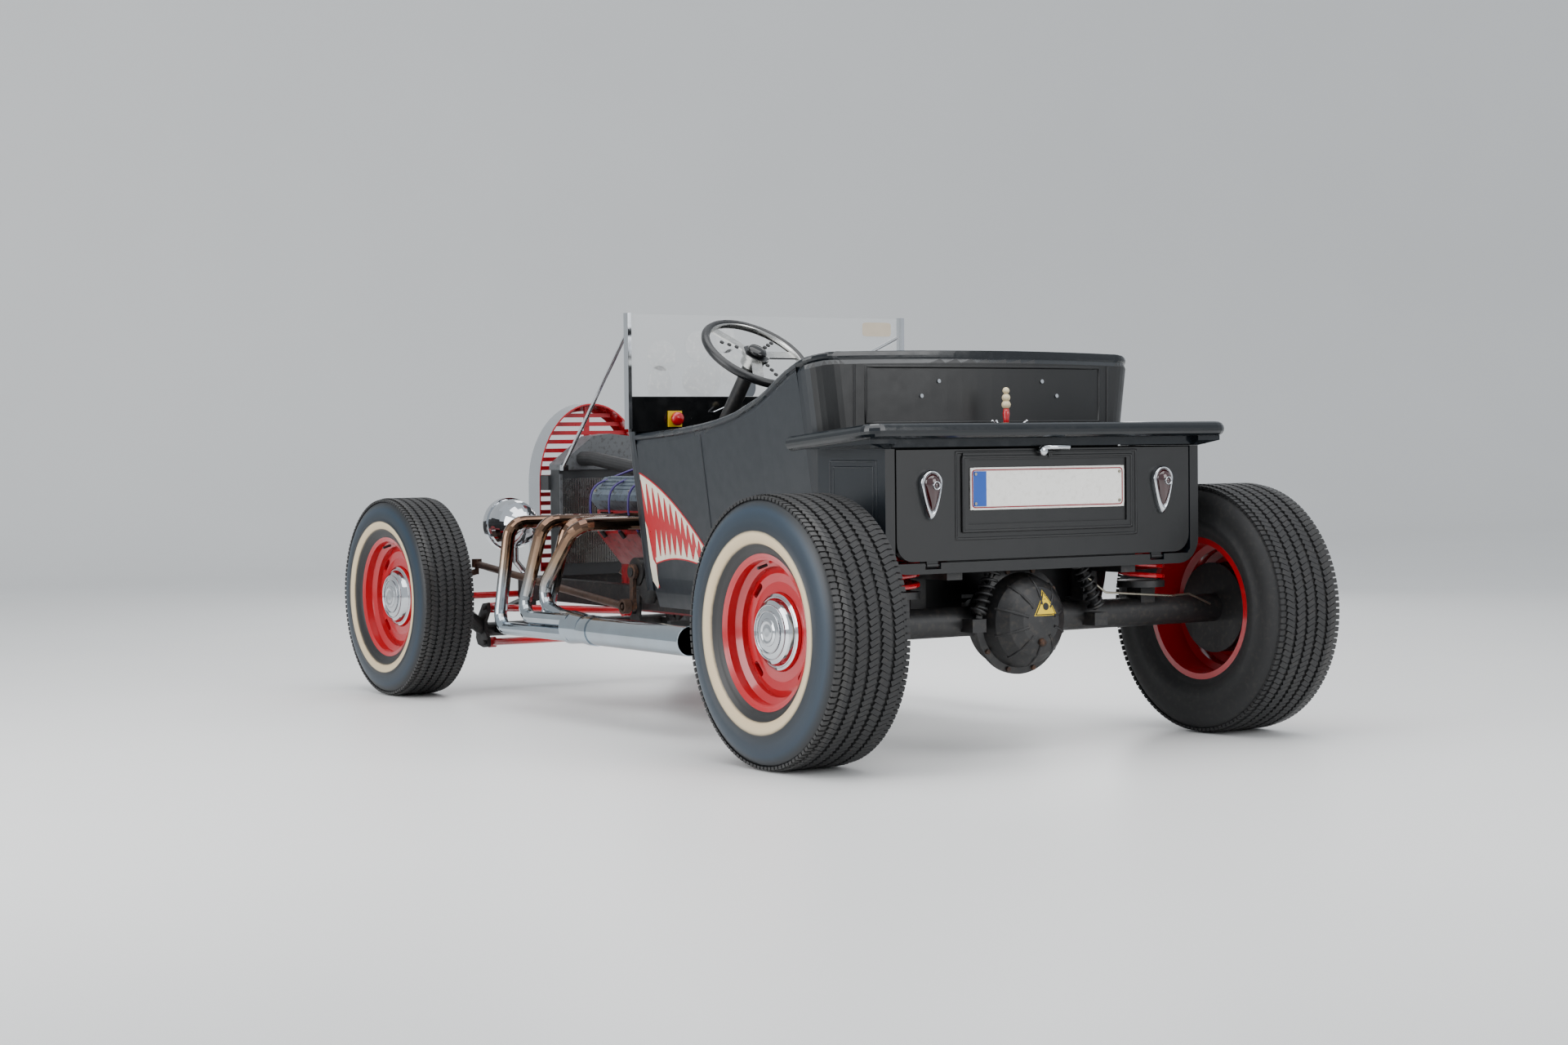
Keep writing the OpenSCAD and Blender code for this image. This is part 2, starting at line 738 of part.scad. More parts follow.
tub_outs = tub_plan(0);
tub_ins = tub_plan(tub_wall);
tub_half = [for (i = [0 : len(tub_outs) - 1]) tub_ring(tub_outs[i], tub_ins[i])];
corner_ring = 16;

module tub_left_side() color("#1f2a33")
    skin([for (i = [0 : corner_ring]) tub_half[i]]);

module tub_right_side() color("#1f2a33")
    skin([for (i = [corner_ring : -1 : 0]) flip(tub_half[i])]);

module tub_back() color("#1f2a33") difference() {
    half = [
        for (i = [corner_ring : len(tub_half) - 1])
            [for (p = tub_half[i]) p + [0, i == corner_ring ? seat : 0, 0]]
    ];
    skin(concat(half, [for (i = [len(half) - 2 : -1 : 0]) flip(half[i])]));
    block([diff_x - 62, tub_back_y - 60, body_z - 1], [diff_x + 62, tub_back_y + 1, rear_z + 62]);
    both_sides() block([rail_in - 4, tub_back_y - 80, body_z - 1],
                       [rail_out + 4, tub_back_y + 1, rail_top + 4]);
}

// The cowl closes the front of the tub: round corners, a firewall and a top. It leans as the tub does
function cowl_ring(inset, z) = let (
    half = tub_half_front * (1 + lean * (z - rim_front_z)) - inset,
    front = firewall_y + inset,
    back = cowl_y - seat,
    r = 90
) concat(
    [[half, back, z]],
    [for (a = [0 : 15 : 90]) [half - r + r * cos(a), back - 20 - (back - 20 - front) * sin(a), z]],
    [for (a = [90 : 15 : 180]) [-half + r + r * cos(a), back - 20 - (back - 20 - front) * sin(a), z]],
    [[-half, back, z]]
);

module cowl() color("#1c262e") difference() {
    skin([cowl_ring(0, cowl_z), cowl_ring(0, rail_top + seat)]);
    skin([cowl_ring(6, cowl_z - 6), cowl_ring(6, rail_top - 1)]);
    y_bar(0, firewall_y - 1, cowl_y, floor_z + 20, tunnel_r + seat);
    block([-tunnel_r - seat, firewall_y - 1, rail_top - 1],
          [tunnel_r + seat, cowl_y, floor_z + 21]);
    block([rail_out - 6, firewall_y - 1, rail_top - 1], [box_x + 40, firewall_y + 60, sector_z + 60]);
}

module floor_panel() color("#26282b") difference() {
    union() {
        back = [for (p = tub_plan(tub_wall + 18)) leaned(p, floor_z)];
        translate([0, 0, floor_z + seat]) linear_extrude(floor_t) polygon(concat(
            [for (p = back) [p[0], p[1]]],
            [for (i = [len(back) - 2 : -1 : 0]) [-back[i][0], back[i][1]]]
        ));
        y_bar(0, firewall_y + 8, tunnel_back, floor_z + 20, tunnel_r);
        translate([0, cowl_y + 4, floor_z + 3]) rotate([-30, 0, 0])
            translate([-335, -108, 0]) cube([670, 108, 6]);
    }
    y_bar(0, firewall_y, tunnel_back - 6, floor_z + 20, tunnel_r - 6);
    block([-tunnel_r + 6, firewall_y, floor_z - 1], [tunnel_r - 6, tunnel_back - 6, floor_z + 20]);
    block([-400, firewall_y - 1, rail_z - 100], [400, tunnel_back + 1, floor_z + seat - 0.01]);
    rod(wheel_hub, wheel_hub + 1.1 * (box_end - wheel_hub), 36);
}

module dashboard() color("#0e0f10") {
    block([-tub_half_front + 60, dash_y, rim_front_z - 90],
          [tub_half_front - 60, dash_y + dash_t, rim_front_z + 8]);
    block([-tub_half_front - 24, dash_y, rim_front_z + 6],
          [tub_half_front + 24, dash_y + dash_t, cowl_z]);
    block([-tub_half_front + 80, cowl_y + seat, cowl_z - 7],
          [tub_half_front - 80, dash_y + 1, cowl_z - 1]);
    x_bar(346 - 60, 346 - 59, dash_y + dash_t, rim_front_z + 44, 3);
}

module windshield() color("#dfe7ea") {
    block([-tub_half_front - 24 + seat, dash_y + 3, cowl_z + seat],
          [tub_half_front + 24 - seat, dash_y + 9, windshield_z - 3]);
}

module windshield_frame() color("#c4c8cc") {
    post_x = tub_half_front + 24 + seat;
    both_sides() {
        block([post_x, dash_y - 8, rim_front_z + 14], [post_x + 12, dash_y + 18, windshield_z]);
        rod([post_x + 6, dash_y, windshield_z - 60],
            [rad_half - 4, rad_y + rad_t / 2 + 22, rad_top + 9], 6);
        block([rad_half - 18, rad_y + rad_t / 2 + 10 + seat, rad_top - 3],
              [rad_half + 2, rad_y + rad_t / 2 + 34, rad_top + 15]);
    }
}

seat_half = tub_half_front - 70;
seat_y = cowl_y + 560;

module seat_cushion() color("#1a1a1c") {
    block([-seat_half, seat_y, floor_z + floor_t + 2 * seat], [seat_half, seat_y + 400, floor_z + 165]);
}

module seat_back() color("#1a1a1c") along_x(-seat_half, seat_half) polygon([
    [seat_y + 372, floor_z + 165 + seat], [seat_y + 490, floor_z + 165 + seat],
    [seat_y + 508, rim_rear_z - 85], [seat_y + 420, rim_rear_z - 85]
]);

module gear_lever() color("#c9ccd0") {
    translate([0, cowl_y + 300, floor_z + 20 + tunnel_r + seat]) rotate_extrude() polygon([
        [0, 0], [30, 0], [28, 6], [22, 12], [9, 16], [7, 30], [5.5, 198], [9, 202], [18, 213],
        [20, 222], [17, 233], [10, 240], [0, 242]
    ]);
}

module cowl_lamp() color("#b3101c") {
    translate([330, firewall_y - seat, cowl_z - 75]) rotate([90, 0, 0]) rotate_extrude() polygon(
        concat([[0, 0], [30, 0], [50, 14]], [for (a = [0 : 15 : 90]) [50 * cos(a), 45 + 95 * sin(a)]])
    );
}

// ---------- Bed ----------

// Half of the bed's outline in X and Z, set in by inset
function bed_points(inset, top) = let (r = bed_corner - inset) concat(
    [[bed_half - inset, top]],
    [for (a = [0 : -15 : -90]) [bed_half - inset - r + r * cos(a), bed_z + inset + r + r * sin(a)]]
);
function both_halves(half) = concat(half, [for (i = [len(half) - 1 : -1 : 0]) [-half[i][0], half[i][1]]]);

module bed_box() color("#1f2a33") difference() {
    union() {
        along_y(bed_side_y, tail_y) difference() {
            polygon(both_halves(bed_points(0, bed_top_z)));
            polygon(both_halves(bed_points(bed_wall, bed_top_z + 1)));
            translate([-bed_half + 38, bed_z - 1]) square([2 * bed_half - 76, 60]);
        }
        along_y(bed_front_y, bed_front_y + 12) difference() {
            polygon(both_halves(bed_points(bed_wall - 1, bed_top_z)));
            translate([-400, bed_z - 1]) square([800, 78]);
        }
        along_y(tail_y - 22, tail_y) difference() {
            polygon(both_halves(bed_points(0, bed_top_z)));
            translate([-gate_half - gate_gap, gate_low - gate_gap])
                square([2 * (gate_half + gate_gap), 400]);
        }
        block([-bed_half + 10, bed_front_y, bed_floor_z], [bed_half - 10, tail_y - 24, bed_floor_z + 12]);
        both_sides() block([rail_in, rear_y - 30, kick_top + 17 + seat],
                           [rail_out, rear_y + 30, bed_floor_z + 1]);
    }
    block([-bed_half + bed_wall, bed_side_y - 1, bed_z - 1],
          [bed_half - bed_wall, bed_front_y - 1, bed_top_z + 1]);
    both_sides() block([355, tail_y - 30, hinge_z - 10], [405, tail_y + 1, gate_low]);
    both_sides() x_bar(340, 420, hinge_y, hinge_z, 3);
}

module tailgate() color("#1c1d1f") {
    difference() {
        union() {
            along_y(tail_y - gate_t, tail_y) polygon(both_halves(concat(
                [[gate_half, gate_top]],
                [for (a = [0 : -15 : -90]) [gate_half - 50 + 50 * cos(a), gate_low + 50 + 50 * sin(a)]]
            )));
            along_y(tail_y - 1, tail_y + 5) difference() {
                square_at(285, 598, 802);
                square_at(268, 615, 785);
            }
            both_sides() {
                x_bar(362, 398, hinge_y, hinge_z, 6);
                block([362, hinge_y - 4, hinge_z], [398, hinge_y + 4, gate_low + 1]);
            }
        }
        both_sides() x_bar(361, 399, hinge_y, hinge_z, 3 + pin_fit);
    }
    both_sides() x_bar(341, 419, hinge_y, hinge_z, 3);
    block([-6, tail_y - 1, gate_top - 22], [6, tail_y + 12, gate_top - 4]);
    block([-12, tail_y + 10, gate_top - 12], [34, tail_y + 17, gate_top + 6]);
}

module square_at(half, z0, z1) {
    translate([-half, z0]) square([2 * half, z1 - z0]);
}

module lamp_outline(r, tip) {
    polygon(concat([for (a = [-25 : 10 : 205]) [r * cos(a), r * sin(a)]], [[0, -tip]]));
}

module tail_lights() color("#7d1018") both_sides() {
    along_y(tail_y + seat, tail_y + 12) translate([392, 725]) lamp_outline(34, 95);
    along_y(tail_y + 11, tail_y + 24) translate([392, 725]) lamp_outline(25, 78);
    y_bar(392, tail_y + 20, tail_y + 30, 722, 10);
}

module number_plate() color("#e9e6df") {
    block([-plate_w / 2, tail_y + seat, 653], [plate_w / 2, tail_y + 3, 763]);
}

module bed_rails() color("#15171a") {
    bent_rod([
        [roll_x - 6, bed_side_y - 40, roll_front_z], [roll_x - 2, roll_y, roll_back_z],
        [-roll_x + 2, roll_y, roll_back_z], [-roll_x + 6, bed_side_y - 40, roll_front_z]
    ], roll_r - 3, 26);
    both_sides() hull() {
        block([bed_half - 18, bed_side_y, bed_top_z + seat], [roll_x, bed_side_y + 2, bed_top_z + 6]);
        block([bed_half - 18, roll_y - 10, bed_top_z + 14], [roll_x, roll_y - 8, roll_back_z - 6]);
        block([bed_half - 18, tail_y - 2, bed_top_z + seat], [bed_half, tail_y, bed_top_z + 6]);
    }
}

module tonneau_cover() color("#141416") along_x(-roll_x + 27, roll_x - 27) polygon([
    [bed_front_y + 2, bed_top_z + 20], [roll_y - roll_r + 2.6, roll_back_z - 2],
    [roll_y - roll_r + 2.6, roll_back_z + 10], [bed_front_y + 2, bed_top_z + 32]
]);

// ---------- Steering ----------

module knuckle_core() {
    for (z = [front_z - boss_h / 2 - ear_h - pin_fit, front_z + boss_h / 2 + pin_fit])
        knuckle_ear(z);
    block([kingpin_x + boss_r + 2, front_y - 22, front_z - boss_h / 2 - ear_h - pin_fit],
          [kingpin_x + boss_r + 18, front_y + 22, front_z + boss_h / 2 + ear_h + pin_fit]);
    x_bar(kingpin_x + boss_r + 10, front_track / 2 + 12, front_y, front_z, stub_r);
    x_bar(kingpin_x + boss_r + 17, kingpin_x + boss_r + 22, front_y, front_z, 122);
    translate([kingpin_x, front_y, front_z - boss_h / 2 - ear_h])
        cylinder(h = boss_h + 2 * ear_h, r = kingpin_r);
    bent_rod([
        [kingpin_x + boss_r + 8, front_y + 16, tie_z - 14],
        [kingpin_x + boss_r - 2, front_y + 60, tie_z - 24],
        [kingpin_x, tie_y, tie_z - 24]
    ], 10, 14);
    translate([kingpin_x, tie_y, tie_z - 28]) cylinder(h = 34, r = 7);
}

module knuckle_ear(z) {
    translate([kingpin_x, front_y, z]) cylinder(h = ear_h, r = boss_r - 8);
    block([kingpin_x, front_y - 18, z], [kingpin_x + boss_r + 10, front_y + 18, z + ear_h]);
}

module left_knuckle() color("#26282b") {
    knuckle_core();
    rod([kingpin_x, front_y, front_z + boss_h / 2 + 9], [drag_x, drag_y, drag_z - 25], 10);
    translate([drag_x, drag_y, drag_z - 35]) cylinder(h = 43, r = 7);
}

module right_knuckle() color("#26282b") mirror([1, 0, 0]) knuckle_core();

// The tie rod's and the drag link's ends drop over the arms' studs
module tie_rod() color("#b3121f") difference() {
    union() {
        x_bar(-kingpin_x, kingpin_x, tie_y, tie_z, tie_r);
        both_sides() translate([kingpin_x, tie_y, tie_z - 9]) cylinder(h = 24, r = 15);
    }
    both_sides() translate([kingpin_x, tie_y, tie_z - 12]) cylinder(h = 30, r = 7 + pin_fit);
}

module drag_link() color("#5b463a") difference() {
    union() {
        rod([drag_x, drag_y, drag_z], link_end - [0, 8, 0], drag_r);
        translate([drag_x, drag_y, drag_z - 11]) cylinder(h = 28, r = 17);
        x_bar(link_end[0] - 11, link_end[0] + 11, pitman_y, pitman_z, 23);
    }
    translate([drag_x, drag_y, drag_z - 14]) cylinder(h = 42, r = 7 + pin_fit);
    x_bar(link_end[0] - 12, link_end[0] + 40, pitman_y, pitman_z, 14);
}

module pitman_arm() color("#2b2c2f") {
    x = pitman_x - 34;
    difference() {
        union() {
            x_bar(x, x + 12, pitman_y, sector_z, 24);
            x_bar(x, x + 12, pitman_y, pitman_z, 15);
            block([x, pitman_y - 11, pitman_z], [x + 12, pitman_y + 11, sector_z]);
            x_bar(x, pitman_x + 12, pitman_y, pitman_z, 6);
        }
        x_bar(x - 1, x + 30, pitman_y, sector_z, 14 + pin_fit);
    }
}

module steering_wheel() color("#18191b") {
    d = wheel_hub - box_end;
    translate(wheel_hub) rotate([0, acos(d[2] / norm(d)), atan2(d[1], d[0])]) {
        rotate_extrude($fn = 96) translate([steer_wheel_r - 13, 0]) circle(13);
        translate([0, 0, -38]) cylinder(h = 34, r = 34);
        translate([0, 0, -8]) cylinder(h = 10, r = 42);
        translate([0, 0, -140]) cylinder(h = 104, r = 9.5);
        for (a = [90, 210, 330]) rotate(a)
            translate([30, -16, -6]) cube([steer_wheel_r - 46, 32, 5]);
    }
}

// ---------- Wheels ----------

// One side of a tyre's section, from the bead to the tread's edge, as [radius, width]
function tyre_side(half, bead_half, r_low, r_top, shoulder) =
    let (r_mid = (r_low + r_top) / 2 + 4)
    [for (a = [-90 : 15 : 90]) [
        r_mid + (a < 0 ? r_mid - r_low : r_top - r_mid) * sin(a),
        half - (a < 0 ? half - bead_half : shoulder) * (1 - cos(a))
    ]];

module tyre(d, w, rim_w) {
    bead_half = rim_w / 2 - 4 - seat;
    outer = concat([[rim_r + seat, bead_half]],
        tyre_side(w / 2, bead_half, rim_r + flange + 2, d / 2 - 4, 30), [[d / 2, w * 0.22]]);
    inner = concat([[rim_r + seat, bead_half - 14]],
        tyre_side(w / 2 - 12, bead_half - 14, rim_r + flange + 10, d / 2 - 18, 30));
    function back(list) = [for (i = [len(list) - 1 : -1 : 0]) [list[i][0], -list[i][1]]];
    function turned(list) = [for (i = [len(list) - 1 : -1 : 0]) list[i]];
    rotate([0, 90, 0]) rotate_extrude($fn = 96) polygon(concat(
        outer, back(outer), [for (p = inner) [p[0], -p[1]]], turned(inner)
    ));
}

// A steel wheel: rim, slotted disc, drum and hub cap; +Z is the outer face
module wheel(rim_w, drum_end) {
    half = rim_w / 2;
    face = half - cap_inset;
    lip = rim_r + flange;
    drop = rim_r - 18;
    cap_r = cap_d / 2;
    rotate([0, 90, 0]) {
        difference() {
            rotate_extrude($fn = 96) polygon([
                [lip, half], [lip, half - 4], [rim_r, half - 4], [rim_r, half - 34],
                [drop, half - 44], [drop, half - 92], [rim_r, half - 102], [rim_r, 4 - half],
                [lip, 4 - half], [lip, -half], [rim_r - 5, -half], [rim_r - 5, half - 106],
                [drop - 5, half - 96], [drop - 5, face - 20], [148, face - 12], [112, face - 12],
                [102, face - 28], [102, face - 34], [127, face - 34], [127, drum_end],
                [118, drum_end], [118, face - 42], [stub_r + 1, face - 42],
                [stub_r + 1, face - 22], [60, face - 22], [cap_r - 8, face - 18], [cap_r + seat, face - 3],
                [128, face - 4], [150, face - 2], [drop - 5, face - 8], [drop - 5, half - 40],
                [rim_r - 5, half - 30], [rim_r - 5, half - 6], [lip - 5, half]
            ]);
            for (i = [0 : 3]) rotate(45 + 90 * i) translate([0, 143, 0]) {
                block([-16, -8, face - 20], [16, 8, face + 6]);
                for (s = [-1, 1]) translate([16 * s, 0, face - 20]) cylinder(h = 26, r = 8);
            }
        }
        rotate_extrude() polygon(concat(
            [[0, face - 2], [cap_r - 2, face - 3.5], [cap_r, face - 2], [cap_r - 4, face + 6],
             [88, face + 10], [84, face + 18]],
            [for (a = [15 : 15 : 90]) [84 * cos(a), face + 18 + 18 * sin(a)]]
        ));
    }
}

module front_tyre() tyre(front_tyre_d, front_tyre_w, front_rim_w);
module rear_tyre() tyre(rear_tyre_d, rear_tyre_w, rear_rim_w);
module front_wheel() wheel(front_rim_w, kingpin_x + boss_r + 26 - front_track / 2);
module rear_wheel() wheel(rear_rim_w, -30);
module front_left() translate([front_track / 2, front_y, front_z]) children();
module rear_left() translate([rear_track / 2, rear_y, rear_z]) children();

module front_left_tyre() color("#232426") front_left() front_tyre();
module front_right_tyre() color("#232426") mirror([1, 0, 0]) front_left() front_tyre();
module rear_left_tyre() color("#232426") rear_left() rear_tyre();
module rear_right_tyre() color("#232426") mirror([1, 0, 0]) rear_left() rear_tyre();
module front_left_wheel() color("#b3121f") front_left() front_wheel();
module front_right_wheel() color("#b3121f") mirror([1, 0, 0]) front_left() front_wheel();
module rear_left_wheel() color("#b3121f") rear_left() rear_wheel();
module rear_right_wheel() color("#b3121f") mirror([1, 0, 0]) rear_left() rear_wheel();

chassis_frame();
tie_down_lugs();
front_axle();
radius_rods();
steering_column();
rear_axle();
rear_coil_springs();
rear_shocks();
brake_line();
driveline();
engine_block();
valve_covers();
intake_and_air_cleaner();
engine_fan();
left_exhaust_header();
right_exhaust_header();
radiator();
radiator_hose();
grille_shell();
grille_bars();
headlamps();
headlamp_lenses();
tub_left_side();
tub_right_side();
tub_back();
cowl();
floor_panel();
dashboard();
windshield();
windshield_frame();
seat_cushion();
seat_back();
gear_lever();
cowl_lamp();
bed_box();
bed_rails();
tonneau_cover();
tailgate();
tail_lights();
number_plate();
left_knuckle();
right_knuckle();
tie_rod();
drag_link();
pitman_arm();
steering_wheel();
front_left_tyre();
front_right_tyre();
rear_left_tyre();
rear_right_tyre();
front_left_wheel();
front_right_wheel();
rear_left_wheel();
rear_right_wheel();
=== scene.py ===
"""Looks of a street rod roadster: paint, chrome, tyres, upholstery, trim and a plain studio."""

import json
import math

import bmesh
import bpy
from bpy.props import FloatProperty, FloatVectorProperty, IntProperty, PointerProperty
from mathutils import Matrix, Vector
from mathutils.bvhtree import BVHTree


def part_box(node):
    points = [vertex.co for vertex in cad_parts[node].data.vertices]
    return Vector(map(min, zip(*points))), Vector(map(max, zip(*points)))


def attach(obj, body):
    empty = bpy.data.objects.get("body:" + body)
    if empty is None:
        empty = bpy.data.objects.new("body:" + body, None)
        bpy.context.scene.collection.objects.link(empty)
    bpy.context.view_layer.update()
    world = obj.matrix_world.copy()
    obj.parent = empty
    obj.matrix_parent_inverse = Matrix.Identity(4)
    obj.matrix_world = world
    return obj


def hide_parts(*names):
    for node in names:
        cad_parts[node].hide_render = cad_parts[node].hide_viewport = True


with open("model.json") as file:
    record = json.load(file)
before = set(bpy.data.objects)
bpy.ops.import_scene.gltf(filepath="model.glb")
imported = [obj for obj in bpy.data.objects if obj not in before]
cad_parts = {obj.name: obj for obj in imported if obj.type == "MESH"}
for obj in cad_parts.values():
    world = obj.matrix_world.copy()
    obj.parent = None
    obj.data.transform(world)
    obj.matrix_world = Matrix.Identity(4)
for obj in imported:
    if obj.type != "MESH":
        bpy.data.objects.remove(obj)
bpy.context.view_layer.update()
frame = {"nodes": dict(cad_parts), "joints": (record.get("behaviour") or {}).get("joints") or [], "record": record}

bl_info = {
    "name": "Street Rod Roadster Looks",
    "version": (1, 0, 0),
    "blender": (4, 5, 0),
    "location": "3D View > Sidebar > Roadster",
    "description": "Builds the finishes, tyres, upholstery and trim of a street rod roadster",
    "category": "Object",
}

NODES = frame["nodes"]
BODY_OF = {n: b for b, ns in frame["record"]["behaviour"]["bodies"].items() for n in ns}
WHEELS = ("front_left", "front_right", "rear_left", "rear_right")
TUB_SIDE = {1: "tub_left_side", -1: "tub_right_side"}

# Where the differential's cover and the coil-overs stand, in metres
AXLE_Y, AXLE_Z = 1.23875, 0.3525
COVER_X, COVER_OUT = 0.045, 0.046
COIL_BACK = 0.069
COIL_FOOT_X, COIL_HEAD_X = 0.208, 0.139
COIL_FOOT_UP = 0.016
# The tub's front edge, just behind the cowl
TUB_FRONT = -0.0325
# Height of the dials, and the place of the button, on the dashboard
DIAL_Z, BUTTON_X, BUTTON_Z = 0.915, 0.346, 0.908
# The camera: place in metres, yaw, pitch and roll in degrees, focal length in millimetres
CAMERA_PLACE = (4.474, 6.960, 0.844)
CAMERA_TURN = (32.958, 1.7896, -0.5815)
CAMERA_LENS = 61.47


# ---------- Colours and material nodes ----------

def linear(code):
    """A hex sRGB colour as linear RGBA."""
    channels = [int(code[i:i + 2], 16) / 255 for i in (1, 3, 5)]
    return tuple(c / 12.92 if c <= 0.04045 else ((c + 0.055) / 1.055) ** 2.4 for c in channels) + (1.0,)


def per_mm(size):
    """The scale of a pattern whose features are size millimetres apart."""
    return 1000.0 / size


def add(tree, kind, inputs=None, **settings):
    """A node with its settings and its inputs, which are values or other nodes' sockets."""
    made = tree.nodes.new(kind)
    for name, value in settings.items():
        setattr(made, name, value)
    for key, value in (inputs or {}).items():
        socket = made.inputs[key]
        if isinstance(value, bpy.types.NodeSocket):
            tree.links.new(value, socket)
        else:
            socket.default_value = value
    return made


def ramp(tree, factor, stops, mode="LINEAR"):
    """A colour ramp with stops of (position, hex)."""
    made = add(tree, "ShaderNodeValToRGB", {0: factor})
    band = made.color_ramp
    band.interpolation = mode
    while len(band.elements) < len(stops):
        band.elements.new(0.5)
    for element, (place, code) in zip(band.elements, stops):
        element.position = place
        element.color = linear(code)
    return made.outputs[0]


def finish(name, base, rough, metal=0.0, second=None, cloud=120.0, grain=None, rough_by=0.08,
           dirt=None, **sockets):
    """A procedural finish: base and second colour mixed in clouds (mm), a grain bump (mm, strength)
    and a roughness that wanders by rough_by. dirt is a colour that gathers in fine specks."""
    made = bpy.data.materials.new(name)
    made.use_nodes = True
    tree = made.node_tree
    shader = tree.nodes["Principled BSDF"]
    place = add(tree, "ShaderNodeTexCoord").outputs["Object"]
    soft = add(tree, "ShaderNodeTexNoise", {"Vector": place, "Scale": per_mm(cloud), "Detail": 5.0}).outputs[0]
    colour = add(tree, "ShaderNodeMix", {0: soft, 6: linear(base), 7: linear(second or base)},
                 data_type="RGBA").outputs[2]
    if dirt:
        speck = add(tree, "ShaderNodeTexNoise", {"Vector": place, "Scale": per_mm(14), "Detail": 8.0}).outputs[0]
        mask = add(tree, "ShaderNodeMapRange", {0: speck, 1: 0.52, 2: 0.7, 3: 0.0, 4: 0.75}).outputs[0]
        colour = add(tree, "ShaderNodeMix", {0: mask, 6: colour, 7: linear(dirt)}, data_type="RGBA").outputs[2]
    tree.links.new(colour, shader.inputs["Base Color"])
    wander = add(tree, "ShaderNodeTexNoise", {"Vector": place, "Scale": per_mm(35), "Detail": 6.0}).outputs[0]
    rough_out = add(tree, "ShaderNodeMapRange",
                    {0: wander, 1: 0.3, 2: 0.7, 3: max(0.02, rough - rough_by), 4: rough + rough_by}).outputs[0]
    tree.links.new(rough_out, shader.inputs["Roughness"])
    shader.inputs["Metallic"].default_value = metal
    if grain:
        fine = add(tree, "ShaderNodeTexNoise", {"Vector": place, "Scale": per_mm(grain[0]), "Detail": 3.0})
        bump = add(tree, "ShaderNodeBump", {"Strength": grain[1], "Distance": 0.001, "Height": fine.outputs[0]})
        tree.links.new(bump.outputs[0], shader.inputs["Normal"])
    for socket, value in sockets.items():
        shader.inputs[socket.replace("_", " ")].default_value = value
    return made


